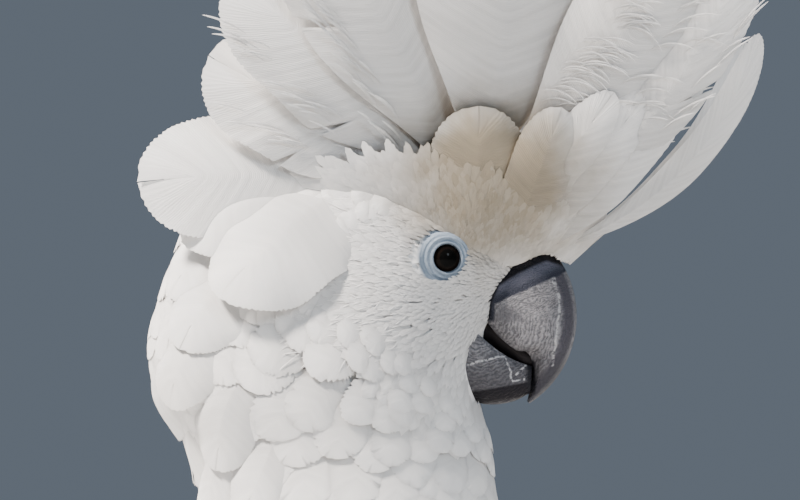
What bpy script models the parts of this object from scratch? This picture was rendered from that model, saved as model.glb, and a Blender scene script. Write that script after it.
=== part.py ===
"""A life-size white cockatoo (Cacatua alba, adult male), standing with its crest raised.

Lengths are millimetres and become metres as each mesh is made. The bird faces +X, +Z is up, and Y = 0 is
its plane of symmetry. Every shape is laid out from the line between the eyes: x is forward of it, z above
it. settle_on_floor() then moves the whole model so that the middle of its underside box is the origin.
"""

import math
from collections import namedtuple

import bmesh
import bpy
from mathutils import Matrix, Vector

MM = 0.001
EYE_HEIGHT = 294.0  # eye line above the floor
PART_GAP = 0.4  # thin cut between two parts of the body
SEAT_GAP = 0.35  # clearance round an eye, a bill or a feather root that sits in the head
SEAT_DEPTH = 1.0  # how far a bill's seat runs on behind it
MERGE = 1e-7  # metres

# Sections of the body from the crown down the neck and back along the trunk. x and z are a section's
# centre, pitch turns its plane from level (degrees), front, back and half_width are its reach from the
# centre, and the powers say how full its front and back halves are (2 is an ellipse).
Section = namedtuple("Section", "place x z pitch front back half_width front_power back_power")
BODY = [
    Section("crown_top", -26, 29.0, 0, 5, 8, 4.0, 2.0, 2.0),
    Section("crown", -25, 26.5, 0, 17, 24, 11.0, 2.0, 2.0),
    Section("brow", -26, 21.0, 0, 27, 39, 17.5, 1.9, 2.2),
    Section("temple", -28, 12.0, 0, 46, 46, 22.5, 1.7, 2.2),
    Section("eye_line", -28, 0.0, 0, 56, 51, 26.0, 1.55, 2.2),
    Section("ear", -30, -12.0, 0, 48, 53, 29.5, 1.6, 2.2),
    Section("cheek", -32, -26.0, 0, 43, 54, 32.5, 1.75, 2.1),
    Section("jaw", -34, -40.0, 0, 44, 49.5, 33.5, 1.9, 2.0),
    Section("throat", -32, -54.0, 0, 45, 43, 32.0, 2.0, 2.0),
    Section("neck", -30, -68.0, 0, 44.5, 41, 32.5, 2.0, 2.0),
    Section("neck_base", -30, -86.0, 0, 47, 44, 36.0, 2.0, 2.0),
    Section("collar", -33, -104.0, -3, 52, 50, 41.0, 2.0, 2.0),
    Section("shoulder", -44, -124.0, -18, 57, 54, 46.5, 2.0, 2.1),
    Section("breast", -60, -142.0, -36, 60, 52, 50.5, 2.0, 2.2),
    Section("keel", -83, -158.0, -50, 58, 50, 52.5, 2.0, 2.2),
    Section("belly", -109, -171.0, -58, 53, 46, 50.0, 2.0, 2.2),
    Section("flank", -136, -184.0, -61, 45, 38, 43.0, 2.0, 2.1),
    Section("vent", -162, -196.0, -63, 33, 27, 33.0, 2.0, 2.0),
    Section("rump", -186, -207.5, -64, 21, 16.5, 23.5, 2.0, 2.0),
    Section("tail_root", -208, -218.0, -65, 9, 7.5, 16.0, 2.2, 2.2),
]
# The folded wings run on past the tail root, over these sections of empty air above the tail.
WING_RUN = BODY + [
    Section("wing_end", -232, -229.0, -65, 6, 7.5, 21.0, 2.0, 2.0),
    Section("wing_tip", -258, -241.0, -65, 6, 7.5, 21.0, 2.0, 2.0),
    Section("past_wing", -280, -251.5, -65, 6, 7.0, 20.0, 2.0, 2.0),
]
NECK_START = 7.45  # where the head ends, counted in sections from the crown
TRUNK_START = 10.9
BODY_SIDES = 32

# Edges of the folded wing, as angles round the body's section from its front (0) to its back (180).
WingEdge = namedtuple("WingEdge", "at lower upper thickness")
WING = [
    WingEdge(11.65, 82, 104, 1.0),
    WingEdge(12.0, 66, 124, 3.5),
    WingEdge(13.0, 55, 146, 6.5),
    WingEdge(14.0, 54, 157, 7.0),
    WingEdge(15.0, 59, 165, 6.5),
    WingEdge(16.0, 68, 171, 6.0),
    WingEdge(17.0, 80, 173, 5.0),
    WingEdge(18.0, 92, 173, 4.5),
    WingEdge(19.0, 101, 172, 4.0),
    WingEdge(20.0, 112, 170, 3.0),
    WingEdge(21.0, 127, 168, 2.0),
    WingEdge(21.4, 140, 163, 1.0),
]
WING_CUTS = {"coverts": (11.65, 14.7), "secondaries": (14.7, 18.3), "primaries": (18.3, 21.4)}
WING_CLEARANCE = 1.0
FEATHER_EDGE = 0.8  # thickness at the edge of a wing or crest feather

TAIL_LENGTH = 124.0
TAIL_HALF_WIDTH = (13.0, 31.0)  # at its root and at its tip
TAIL_THICKNESS = (8.0, 1.6)
TAIL_FEATHERS = 12
TAIL_TIP_DEPTH = 5.0  # from the point of a tail feather to the notch beside it
TAIL_ARCH = 5.0  # how far its sides hang below its middle

EYE_RADIUS = 5.4
EYE_BACK = 1.0  # the eyeballs look a little forward, so their centres lie behind the middle of what shows
EYE_DEPTH = 15.2  # from the mid plane to the centre of the eyeball

CULMEN_CENTRE = (8.0, -17.0)  # the ridge of the upper bill is an arc round this point
CULMEN_RADIUS = 30.0
CULMEN_TURN = (52.0, -57.0)  # degrees, from inside the forehead to the hook's point
# Cutting edge of the upper bill: share of the way to the point, x, z, and half the bill's width.
UPPER_EDGE = [
    (0.0, 8.0, -9.0, 9.5),
    (0.15, 11.0, -17.0, 11.8),
    (0.35, 14.0, -22.0, 11.6),
    (0.52, 19.5, -26.6, 10.4),
    (0.60, 24.2, -27.0, 9.2),
    (0.74, 25.8, -31.6, 7.4),
    (0.88, 25.0, -37.4, 5.0),
    (1.0, 23.6, -41.6, 1.6),
]
# Lower bill: share of its length, x and z of its cutting edge, x and z of its keel, and half its width.
LOWER_BILL = [
    (0.0, 2.0, -22.0, -3.0, -37.0, 8.5),
    (0.2, 8.0, -19.6, 2.0, -39.2, 11.2),
    (0.5, 13.8, -24.4, 11.0, -42.4, 10.4),
    (0.8, 19.6, -28.6, 19.0, -41.8, 8.2),
    (1.0, 23.6, -31.0, 23.8, -39.2, 6.2),
]

# Crest feathers of one side, from the nape forward. at is where one is rooted along the crown, from its
# back (0) to the forehead (1). turn is its direction in profile (degrees from forward, 90 is straight up),
# and lean tips it out from the mid plane. Over its length it bends towards the nape by bend degrees and
# curls in towards its fellow by curl degrees.
CrestFeather = namedtuple("CrestFeather", "at turn lean length width bend curl")
CREST_SIDE = [
    CrestFeather(0.00, 173, 27, 80, 20, 6, 22),
    CrestFeather(0.17, 151, 23, 78, 23, 0, 23),
    CrestFeather(0.30, 133, 22, 88, 26, 2, 24),
    CrestFeather(0.42, 112, 23, 108, 34, 8, 24),
    CrestFeather(0.55, 84, 23, 118, 40, 10, 23),
    CrestFeather(0.69, 51, 22, 119, 34, 22, 22),
    CrestFeather(0.84, 34, 19, 113, 20, 44, 20),
    CrestFeather(1.00, 22, 12, 86, 12, 52, 14),
]
# Feathers of the mid plane. Their width lies across the bird, so their curl is towards the nape.
CREST_MIDDLE = [
    CrestFeather(0.18, 126, 0, 104, 19, 0, 14),
    CrestFeather(0.40, 102, 0, 120, 22, 0, 18),
    CrestFeather(0.60, 75, 0, 124, 24, 0, 24),
    CrestFeather(0.80, 54, 0, 114, 20, 0, 34),
    CrestFeather(1.00, 36, 0, 84, 16, 0, 42),
]
CROWN_BACK = (-10.0, 22.0)  # x and z of the rearmost crest root
CROWN_FRONT = (34.0, 3.0)
CROWN_BULGE = 5.5
CREST_ROOT_SIDE = (11.0, 6.5)  # from the mid plane to the roots of a side's feathers, at back and front
CREST_THICKNESS = 0.8
CREST_CAMBER = 0.16  # depth of a feather's cupping over its half width
CREST_SHINGLE = 16.0  # degrees that a side feather's front edge stands out over the feather before it

HIP = (-88.0, 27.0, -186.0)
KNEE = (-84.0, 28.0, -222.0)
ANKLE = (-95.0, 28.0, -266.0)
THIGH_REACH = ((27.0, 16.0), (23.0, 15.5), (8.0, 7.0))  # fore-and-aft and sideways at hip, knee and ankle
FOOT = (-88.0, 28.5)
FOOT_HUB_RADIUS = 8.8
TARSUS_RADIUS = 5.0
TOE_HEIGHT = 3.9
# Toes by name: direction from forward (degrees, positive towards the mid plane), length, radius.
TOES = {
    "inner_front": (22.0, 29.0, 4.6),
    "outer_front": (-24.0, 41.0, 4.7),
    "outer_back": (-152.0, 33.0, 4.5),
    "inner_back": (150.0, 20.0, 4.5),
}
TOE_START = 10.4
TOE_PADS = 3
CLAW_TURN = 78.0
CLAW_BEND_RADIUS = 9.5
CLAW_RADIUS = (2.5, 0.45)


def finish(name, colour, roughness):
    """A plain Principled material."""
    material = bpy.data.materials.new(name)
    material.use_nodes = True
    shader = material.node_tree.nodes["Principled BSDF"]
    shader.inputs["Base Color"].default_value = (*colour, 1.0)
    shader.inputs["Roughness"].default_value = roughness
    shader.inputs["Metallic"].default_value = 0.0
    return material


def clear_scene():
    for obj in list(bpy.data.objects):
        bpy.data.objects.remove(obj, do_unlink=True)


def between(first, second, share):
    return first + (second - first) * share


def smooth_step(low, high, value):
    share = min(max((value - low) / (high - low), 0.0), 1.0)
    return share * share * (3 - 2 * share)


def through(before, first, second, after, share):
    """Catmull-Rom curve from first to second."""
    cubic = -before + 3 * first - 3 * second + after
    square = 2 * before - 5 * first + 4 * second - after
    return 0.5 * (2 * first + (second - before) * share + square * share**2 + cubic * share**3)


def row_at(rows, at):
    """The numbers of a table's rows at a fractional row number, on a smooth curve."""
    last = len(rows) - 1
    low = min(max(int(at), 0), last - 1)
    picked = [rows[min(max(low + step, 0), last)] for step in (-1, 0, 1, 2)]
    numbers = zip(*[[value for value in row if not isinstance(value, str)] for row in picked])
    return [through(*four, at - low) for four in numbers]


def row_by_first(rows, value):
    """The same, for a table whose first column rises."""
    for number in range(len(rows) - 1):
        if value <= rows[number + 1][0]:
            break
    start, end = rows[number][0], rows[number + 1][0]
    return row_at(rows, number + (value - start) / (end - start))


def powered(value, power):
    return math.copysign(abs(value) ** (2.0 / power), value)


def body_point(sections, at, angle, offset=0.0):
    """A point of the body's surface: at counts sections from the crown, angle runs round from the front."""
    x, z, pitch, front, back, half_width, front_power, back_power = row_at(sections, at)
    forward, sideways = math.cos(angle), math.sin(angle)
    reach, power = (front, front_power) if forward >= 0 else (back, back_power)
    along = (reach + offset) * powered(forward, power)
    side = (half_width + offset) * powered(sideways, power)
    tilt = math.radians(pitch)
    return Vector((x + along * math.cos(tilt), side, z + along * math.sin(tilt)))


def new_object(name, mesh_data, material):
    mesh = bpy.data.meshes.new(name)
    mesh_data.to_mesh(mesh)
    mesh_data.free()
    mesh.materials.append(material)
    mesh.shade_smooth()
    mesh.set_sharp_from_angle(angle=math.radians(40))
    obj = bpy.data.objects.new(name, mesh)
    bpy.context.scene.collection.objects.link(obj)
    return obj


def tube(name, material, rings, sides, place):
    """A closed solid. place(u, angle) gives the point of ring u (0 to 1) at that angle round it."""
    shape = bmesh.new()
    bmesh.ops.create_grid(shape, x_segments=rings, y_segments=sides, size=0.5)
    for vert in shape.verts:
        vert.co = Vector(place(vert.co.x + 0.5, (vert.co.y + 0.5) * math.tau)) * MM
    bmesh.ops.remove_doubles(shape, verts=shape.verts[:], dist=MERGE)
    rims = [edge for edge in shape.edges if edge.is_boundary]
    bmesh.ops.holes_fill(shape, edges=rims, sides=0)
    bmesh.ops.triangulate(shape, faces=shape.faces[:])
    bmesh.ops.recalc_face_normals(shape, faces=shape.faces[:])
    return new_object(name, shape, material)


def plate(name, material, rows, columns, place):
    """A closed thin solid. place(u, v, outer) gives a point of its outer (1) or inner (0) face, u and v
    running from 0 to 1 along and across it."""
    sides = 2 * (columns + 1)

    def ring_point(u, angle):
        step = round(angle / math.tau * sides) % sides
        if step <= columns:
            return place(u, step / columns, 1)
        return place(u, (sides - 1 - step) / columns, 0)

    return tube(name, material, rows, sides, ring_point)


def cut(obj, cutter):
    """Takes the cutter's shape out of the object. Blender leaves the cutter out of the render."""
    cutter.hide_render = True
    cutter.display_type = "WIRE"
    seat = obj.modifiers.new("seat_" + cutter.name, "BOOLEAN")
    seat.operation = "DIFFERENCE"
    seat.solver = "EXACT"
    seat.object = cutter


def body_part(name, material, start, end, rings, offset=0.0):
    """A length of the body between two places, with flat ends."""

    def place(u, angle):
        return body_point(BODY, between(start, end, u), angle, offset)

    return tube(name, material, rings, BODY_SIDES, place)


def gap_at(at):
    """Half of PART_GAP, counted in sections."""
    low = int(at)
    step = Vector((BODY[low + 1].x - BODY[low].x, BODY[low + 1].z - BODY[low].z))
    return 0.5 * PART_GAP / step.length


def make_body(plumage):
    neck_gap, trunk_gap = gap_at(NECK_START), gap_at(TRUNK_START)
    tail_root = len(BODY) - 1
    head = body_part("head", plumage, 0.0, NECK_START - neck_gap, 15)
    body_part("neck", plumage, NECK_START + neck_gap, TRUNK_START - trunk_gap, 6)
    body_part("trunk", plumage, TRUNK_START + trunk_gap, tail_root, 13)
    return head


def upper_bill_point(u, angle, extra=0.0):
    """Ring point of the upper bill: a D-shaped section between the ridge and the cutting edge."""
    _, edge_x, edge_z, half_width = row_by_first(UPPER_EDGE, u)
    turn = math.radians(between(*CULMEN_TURN, u))
    radius = CULMEN_RADIUS + extra
    ridge = Vector((CULMEN_CENTRE[0] + radius * math.cos(turn), CULMEN_CENTRE[1] + radius * math.sin(turn)))
    edge = Vector((edge_x, edge_z))
    up = (ridge - edge).normalized()
    edge = edge - up * extra
    power = 1.9 if math.cos(angle) > 0 else 2.9
    height = 0.5 + 0.5 * powered(math.cos(angle), power)
    at = edge.lerp(ridge, height)
    return Vector((at.x, (half_width + extra) * powered(math.sin(angle), power), at.y))


def lower_bill_point(u, angle, extra=0.0):
    """Ring point of the lower bill: a scoop with a rounded keel and a hollowed top."""
    _, top_x, top_z, keel_x, keel_z, half_width = row_by_first(LOWER_BILL, u)
    top, keel = Vector((top_x, top_z)), Vector((keel_x, keel_z))
    up = (top - keel).normalized()
    power = 3.2 if math.cos(angle) > 0 else 2.0
    height = 0.5 + 0.5 * powered(math.cos(angle), power)
    sideways = powered(math.sin(angle), power)
    hollow = 2.2 * smooth_step(0.9, 0.2, abs(sideways)) if math.cos(angle) > 0.3 else 0.0
    at = (keel - up * extra).lerp(top + up * (extra - hollow), height)
    return Vector((at.x, (half_width + extra) * sideways, at.y))


def make_bill(head, horn):
    """Both halves of the bill, seated in the front of the head."""
    for name, point, rings in (("lower_bill", lower_bill_point, 8), ("upper_bill", upper_bill_point, 14)):

        def seat_point(u, angle, point=point, rings=rings):
            step = round(u * (rings + 1)) - 1
            behind = SEAT_DEPTH if step < 0 else 0.0
            return point(max(step, 0) / rings, angle, SEAT_GAP) - Vector((behind, 0, 0))

        tube(name, horn, rings, 16, point)
        cut(head, tube(name + "_seat", horn, rings + 1, 16, seat_point))


def ball(name, material, centre, radius):
    shape = bmesh.new()
    bmesh.ops.create_uvsphere(shape, u_segments=14, v_segments=8, radius=radius * MM)
    bmesh.ops.rotate(shape, verts=shape.verts[:], matrix=Matrix.Rotation(math.pi / 2, 3, "X"))
    bmesh.ops.translate(shape, verts=shape.verts[:], vec=Vector(centre) * MM)
    return new_object(name, shape, material)


def make_eyes(head, iris):
    for side_name, side in (("right", -1), ("left", 1)):
        centre = (-EYE_BACK, side * EYE_DEPTH, 0.0)
        ball("eye_" + side_name, iris, centre, EYE_RADIUS)
        cut(head, ball("eye_socket_" + side_name, iris, centre, EYE_RADIUS + SEAT_GAP))


def wing_point(side, at, v, outer):
    _, lower, upper, thickness = row_by_first(WING, at)
    angle = math.radians(between(lower, upper, v))
    bulge = math.sin(math.pi * v) ** 0.6
    depth = FEATHER_EDGE + (thickness - FEATHER_EDGE) * bulge if outer else 0.0
    point = body_point(WING_RUN, at, angle, WING_CLEARANCE + depth)
    return Vector((point.x, side * point.y, point.z))


def make_wings(plumage):
    for side_name, side in (("right", -1), ("left", 1)):
        for part_name, (start, end) in WING_CUTS.items():
            gap = gap_at(min(start, len(BODY) - 2))
            near = start + gap
            far = end - gap

            def place(u, v, outer, near=near, far=far, side=side):
                return wing_point(side, between(near, far, u), v, outer)

            plate(f"wing_{side_name}_{part_name}", plumage, 6, 6, place)


def tail_point(u, v, outer):
    root = BODY[-1]
    tilt = math.radians(root.pitch)
    back, up = Vector((math.sin(tilt), -math.cos(tilt))), Vector((-math.cos(tilt), -math.sin(tilt)))
    across = 2 * v - 1
    feather = v * TAIL_FEATHERS
    notch = (2 * (feather - math.floor(feather)) - 1) ** 2 if 0 < v < 1 else 1.0
    length = (TAIL_LENGTH - TAIL_TIP_DEPTH * (notch + 0.9 * across**2)) * u + PART_GAP
    half_width = between(*TAIL_HALF_WIDTH, u**0.8)
    thickness = between(*TAIL_THICKNESS, u**0.5) * (1 - 0.45 * across**4)
    rise = (0.5 if outer else -0.5) * thickness - TAIL_ARCH * u * across**2
    at = Vector((root.x, root.z)) + back * length + up * rise
    return Vector((at.x, half_width * across, at.y))


def crest_root(at, side):
    x = between(CROWN_BACK[0], CROWN_FRONT[0], at)
    z = between(CROWN_BACK[1], CROWN_FRONT[1], at) + CROWN_BULGE * math.sin(math.pi * at)
    return Vector((x, side * between(*CREST_ROOT_SIDE, at), z))


def crest_frame(feather, side):
    """Direction, width axis and outward normal of a crest feather at its root."""
    turn, lean = math.radians(feather.turn), math.radians(feather.lean)
    rise = Vector((math.cos(turn), 0.0, math.sin(turn)))
    direction = (rise * math.cos(lean) + Vector((0, side, 0)) * math.sin(lean)).normalized()
    if not side:
        return direction, Vector((0, 1, 0)), Vector((math.sin(turn), 0.0, -math.cos(turn)))
    width = Vector((-math.sin(turn), 0.0, math.cos(turn)))
    normal = Vector((0, side, 0)) * math.cos(lean) - rise * math.sin(lean)
    shingle = math.radians(CREST_SHINGLE)
    shingled = width * math.cos(shingle) - normal * math.sin(shingle)
    return direction, shingled, normal * math.cos(shingle) + width * math.sin(shingle)


def vane_width(u):
    """Half width of a crest feather along its length, as a share of its greatest."""
    blade = smooth_step(-0.05, 0.66, u)
    tip = math.sqrt(max(1 - max((u - 0.72) / 0.28, 0.0) ** 2.4, 0.0))
    return max(blade * tip, 0.07)


def crest_point(feather, side, u, v, outer):
    """Point of a crest feather, whose spine is an arc that starts along its direction."""
    direction, width, normal = crest_frame(feather, side)
    inward = width * feather.bend - normal * feather.curl
    sweep = math.radians(inward.length)
    inward.normalize()
    aside = direction.cross(inward)
    turned = sweep * u
    reach = feather.length / sweep
    spine = direction * (math.sin(turned) * reach) + inward * ((1 - math.cos(turned)) * reach)
    inward_now = inward * math.cos(turned) - direction * math.sin(turned)
    width_now = inward_now * width.dot(inward) + aside * width.dot(aside)
    normal_now = inward_now * normal.dot(inward) + aside * normal.dot(aside)
    across = (2 * v - 1) * vane_width(u) * feather.width / 2
    cup = CREST_CAMBER * across**2 * 2 / feather.width
    rise = (0.5 if outer else -0.5) * CREST_THICKNESS - cup
    return crest_root(feather.at, side) + spine + width_now * across + normal_now * rise


def make_crest(head_shape, plumage):
    rows = [("middle", 0, CREST_MIDDLE), ("right", -1, CREST_SIDE), ("left", 1, CREST_SIDE)]
    for row_name, side, feathers in rows:
        for number, feather in enumerate(feathers, start=1):

            def place(u, v, outer, feather=feather, side=side):
                return crest_point(feather, side, math.sin(u * math.pi / 2), v, outer)

            vane = plate(f"crest_{row_name}_{number}", plumage, 6, 2, place)
            cut(vane, head_shape)


def oval_limb(centres, reaches, u, angle):
    """Ring point of a limb that bends through three centres."""
    first, middle, last = (Vector(centre) for centre in centres)
    centre = first * (1 - u) ** 2 + middle * (2 * u * (1 - u)) + last * u**2
    fore = reaches[0][0] * (1 - u) ** 2 + reaches[1][0] * 2 * u * (1 - u) + reaches[2][0] * u**2
    aside = reaches[0][1] * (1 - u) ** 2 + reaches[1][1] * 2 * u * (1 - u) + reaches[2][1] * u**2
    return centre + Vector((fore * math.cos(angle), aside * math.sin(angle), 0.0))


def mirrored(point, side):
    return Vector((point[0], side * point[1], point[2]))


def make_thigh(side_name, side, trunk_seat, plumage):
    centres = [mirrored(point, side) for point in (HIP, KNEE, ANKLE)]

    def place(u, angle):
        return oval_limb(centres, THIGH_REACH, u, angle)

    cut(tube("thigh_" + side_name, plumage, 6, 14, place), trunk_seat)


def make_tarsus(side_name, side, skin):
    """The bare shank and the ball of the foot, flat underneath."""
    floor = -EYE_HEIGHT
    top = Vector((ANKLE[0], side * ANKLE[1], ANKLE[2] - PART_GAP))
    foot = Vector((FOOT[0], side * FOOT[1], floor + TOE_HEIGHT))

    def place(u, angle):
        ball_share = smooth_step(0.45, 0.9, u)
        centre = top.lerp(foot, min(u / 0.9, 1.0))
        centre.z = max(between(top.z, floor, u), floor)
        swell = between(TARSUS_RADIUS * (1.25 - 0.25 * smooth_step(0.0, 0.3, u)), FOOT_HUB_RADIUS, ball_share)
        swell *= 1.0 - 0.2 * smooth_step(0.93, 1.0, u)
        return centre + Vector((swell * math.cos(angle), swell * math.sin(angle), 0.0))

    tube("tarsus_" + side_name, skin, 8, 12, place)


def make_toe(name, side, heading, length, radius, skin, horn):
    """A toe with its pads on the floor and the claw at its end."""
    turn = math.radians(heading) * -side
    along = Vector((math.cos(turn), math.sin(turn), 0.0))
    across = Vector((-math.sin(turn), math.cos(turn), 0.0))
    hub = Vector((FOOT[0], side * FOOT[1], -EYE_HEIGHT))

    def toe_point(u, angle):
        pad = 1 + 0.09 * math.cos(math.tau * TOE_PADS * u)
        girth = radius * (1 - 0.3 * u) * pad * (1 - 0.35 * smooth_step(0.92, 1.0, u))
        girth *= 1 - 0.25 * smooth_step(0.12, 0.0, u)
        height = TOE_HEIGHT + girth * math.sin(angle) * 0.95
        distance = between(TOE_START, TOE_START + length, u)
        return hub + along * distance + across * (girth * math.cos(angle)) + Vector((0, 0, max(height, 0.0)))

    def claw_point(u, angle):
        bend = math.radians(CLAW_TURN) * u
        girth = between(*CLAW_RADIUS, u**1.2)
        radial = CLAW_BEND_RADIUS + girth * math.sin(angle)
        distance = TOE_START + length + PART_GAP + radial * math.sin(bend)
        height = TOE_HEIGHT - 0.3 + CLAW_BEND_RADIUS * 0.35 * math.sin(math.pi * u)
        height -= CLAW_BEND_RADIUS * 0.28 * (1 - math.cos(bend))
        height += girth * math.sin(angle) * math.cos(bend * 0.6)
        return hub + along * distance + across * (girth * 0.8 * math.cos(angle)) + Vector((0, 0, height))

    tube("toe_" + name, skin, 7, 9, toe_point)
    tube("claw_" + name, horn, 5, 6, claw_point)


def make_legs(trunk_seat, plumage, skin, horn):
    for side_name, side in (("right", -1), ("left", 1)):
        make_thigh(side_name, side, trunk_seat, plumage)
        make_tarsus(side_name, side, skin)
        for toe_name, (heading, length, radius) in TOES.items():
            make_toe(f"{side_name}_{toe_name}", side, heading, length, radius, skin, horn)


def settle_on_floor():
    """Moves everything so that the origin is under the middle of the model, on the floor."""
    shown = [obj for obj in bpy.data.objects if not obj.hide_render]
    corners = [vert.co for obj in shown for vert in obj.data.vertices]
    middle = 0.5 * (min(at.x for at in corners) + max(at.x for at in corners))
    lowest = min(at.z for at in corners)
    for obj in bpy.data.objects:
        obj.location = (-middle, 0.0, -lowest)


def main():
    clear_scene()
    plumage = finish("plumage", (0.86, 0.84, 0.81), 0.75)
    horn = finish("horn", (0.16, 0.155, 0.16), 0.5)
    iris = finish("iris", (0.012, 0.009, 0.008), 0.08)
    leg_skin = finish("leg_skin", (0.2, 0.2, 0.205), 0.65)
    head = make_body(plumage)
    make_bill(head, horn)
    make_eyes(head, iris)
    make_wings(plumage)
    plate("tail", plumage, 3, 2 * TAIL_FEATHERS, tail_point)
    head_shape = body_part("crest_seat", plumage, 0.0, NECK_START, 15, SEAT_GAP)
    make_crest(head_shape, plumage)
    trunk_seat = body_part("leg_seat", plumage, TRUNK_START, len(BODY) - 1, 13, SEAT_GAP)
    make_legs(trunk_seat, plumage, leg_skin, horn)
    settle_on_floor()


main()
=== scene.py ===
"""Looks of a life-size white cockatoo: skin, plumage, bill, eyes and feet, on a pale studio floor.

Places are worked out in millimetres from the line between the eyes, x forward and z up, and world() turns
them into the frame's metres. Feathers are laid on smooth sheets: a sheet gives a place for each pair
(a, b), where a runs down the body from the crown and b runs round it from the front.
"""

import math

import bmesh
import bpy
import numpy as np
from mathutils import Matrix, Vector, kdtree
from mathutils.bvhtree import BVHTree

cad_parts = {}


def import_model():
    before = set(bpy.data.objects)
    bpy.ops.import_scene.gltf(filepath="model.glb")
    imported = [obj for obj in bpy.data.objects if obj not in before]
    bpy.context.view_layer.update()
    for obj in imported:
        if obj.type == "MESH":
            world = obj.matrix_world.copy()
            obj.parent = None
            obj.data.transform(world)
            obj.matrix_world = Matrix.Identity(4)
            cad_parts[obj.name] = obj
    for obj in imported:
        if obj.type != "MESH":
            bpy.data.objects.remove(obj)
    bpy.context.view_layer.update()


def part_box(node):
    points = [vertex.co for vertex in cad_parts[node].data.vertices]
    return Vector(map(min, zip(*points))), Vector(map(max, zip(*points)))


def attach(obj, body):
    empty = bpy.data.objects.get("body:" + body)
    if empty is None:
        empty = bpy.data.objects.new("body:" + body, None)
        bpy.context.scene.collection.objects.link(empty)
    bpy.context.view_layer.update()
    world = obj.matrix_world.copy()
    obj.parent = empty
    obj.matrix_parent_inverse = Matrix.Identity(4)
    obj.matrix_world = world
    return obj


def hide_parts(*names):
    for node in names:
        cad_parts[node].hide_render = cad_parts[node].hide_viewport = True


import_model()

MM = 0.001
EYE_BACK = 1.0  # the eyeball's centre lies this far behind the middle of the visible eye
EYE_LOW, EYE_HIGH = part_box("eye_right")
EYE_LINE = np.array([0.5 * (EYE_LOW[0] + EYE_HIGH[0]) + EYE_BACK * MM, 0.0, 0.5 * (EYE_LOW[2] + EYE_HIGH[2])])
EYE_RADIUS = 0.5 * (EYE_HIGH[0] - EYE_LOW[0]) / MM
EYE_ASIDE = -0.5 * (EYE_LOW[1] + EYE_HIGH[1]) / MM
EYE_TURN = math.radians(17)  # how far the eyes look forward of straight sideways
FLOOR = -EYE_LINE[2] / MM
SIDES = {"right": -1, "left": 1}

# Sections of the body from the crown to the tail and on over the folded wing tips: centre x and z, pitch,
# reach to the front, to the back and to each side, and how full the front and back halves are.
BODY = np.array(
    [
        [-26, 29.0, 0, 5, 8, 4.0, 2.0, 2.0],
        [-25, 26.5, 0, 17, 24, 11.0, 2.0, 2.0],
        [-26, 21.0, 0, 27, 39, 17.5, 1.9, 2.2],
        [-28, 12.0, 0, 46, 46, 22.5, 1.7, 2.2],
        [-28, 0.0, 0, 56, 51, 26.0, 1.55, 2.2],
        [-30, -12.0, 0, 48, 53, 29.5, 1.6, 2.2],
        [-32, -26.0, 0, 43, 54, 32.5, 1.75, 2.1],
        [-34, -40.0, 0, 44, 49.5, 33.5, 1.9, 2.0],
        [-32, -54.0, 0, 45, 43, 32.0, 2.0, 2.0],
        [-30, -68.0, 0, 44.5, 41, 32.5, 2.0, 2.0],
        [-30, -86.0, 0, 47, 44, 36.0, 2.0, 2.0],
        [-33, -104.0, -3, 52, 50, 41.0, 2.0, 2.0],
        [-44, -124.0, -18, 57, 54, 46.5, 2.0, 2.1],
        [-60, -142.0, -36, 60, 52, 50.5, 2.0, 2.2],
        [-83, -158.0, -50, 58, 50, 52.5, 2.0, 2.2],
        [-109, -171.0, -58, 53, 46, 50.0, 2.0, 2.2],
        [-136, -184.0, -61, 45, 38, 43.0, 2.0, 2.1],
        [-162, -196.0, -63, 33, 27, 33.0, 2.0, 2.0],
        [-186, -207.5, -64, 21, 16.5, 23.5, 2.0, 2.0],
        [-208, -218.0, -65, 9, 7.5, 16.0, 2.2, 2.2],
        [-232, -229.0, -65, 6, 7.5, 21.0, 2.0, 2.0],
        [-258, -241.0, -65, 6, 7.5, 21.0, 2.0, 2.0],
        [-280, -251.5, -65, 6, 7.0, 20.0, 2.0, 2.0],
    ]
)
TAIL_ROOT = 19  # the section that the tail grows from

# The folded wing: section, lower and upper edge (degrees round from the front) and thickness.
WING = np.array(
    [
        [11.65, 82, 104, 1.0],
        [12.0, 66, 124, 3.5],
        [13.0, 55, 146, 6.5],
        [14.0, 54, 157, 7.0],
        [15.0, 59, 165, 6.5],
        [16.0, 68, 171, 6.0],
        [17.0, 80, 173, 5.0],
        [18.0, 92, 173, 4.5],
        [19.0, 101, 172, 4.0],
        [20.0, 112, 170, 3.0],
        [21.0, 127, 168, 2.0],
        [21.4, 140, 163, 1.0],
    ]
)
WING_CLEARANCE = 1.0
# A folded wing's rows of long feathers, the lowest in the pile first: count, width, and then for the lowest
# feather, and as the change up to the highest, its root (a, b), tip (a, b) and lift.
WING_ROWS = {
    "primaries": (10, 15, (15.2, 0.1, 21.3, 0.45, -3.4), (-0.5, 0.16, -2.2, -0.1, 1.0)),
    "secondaries": (13, 19, (14.5, 0.08, 17.6, 0.14, -2.2), (-0.3, 0.84, 1.2, 0.72, 1.4)),
    "great_coverts": (13, 16, (13.5, 0.1, 15.3, 0.1, -0.9), (-0.2, 0.82, 0.5, 0.8, 0.9)),
}

TAIL_LENGTH = 124.0
TAIL_HALF_WIDTH = (13.0, 31.0)
TAIL_FEATHERS = 12
TAIL_ARCH = 5.0

HIP = (-88.0, 27.0, -186.0)
KNEE = (-84.0, 28.0, -222.0)
ANKLE = (-95.0, 28.0, -266.0)
THIGH_REACH = ((27.0, 16.0), (23.0, 15.5), (8.0, 7.0))
FOOT = (-88.0, 28.5)
FOOT_HUB_RADIUS = 8.8
TARSUS_RADIUS = 5.0
TOE_HEIGHT = 3.9
TOE_START = 10.4
# Heading, length and girth of each toe.
TOES = {
    "inner_front": (22, 29, 4.6),
    "outer_front": (-24, 41, 4.7),
    "outer_back": (-152, 33, 4.5),
    "inner_back": (150, 20, 4.5),
}
CLAW_BEND = math.radians(78)
CLAW_BEND_RADIUS = 9.5
CLAW_RADIUS = (2.5, 0.3)

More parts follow.
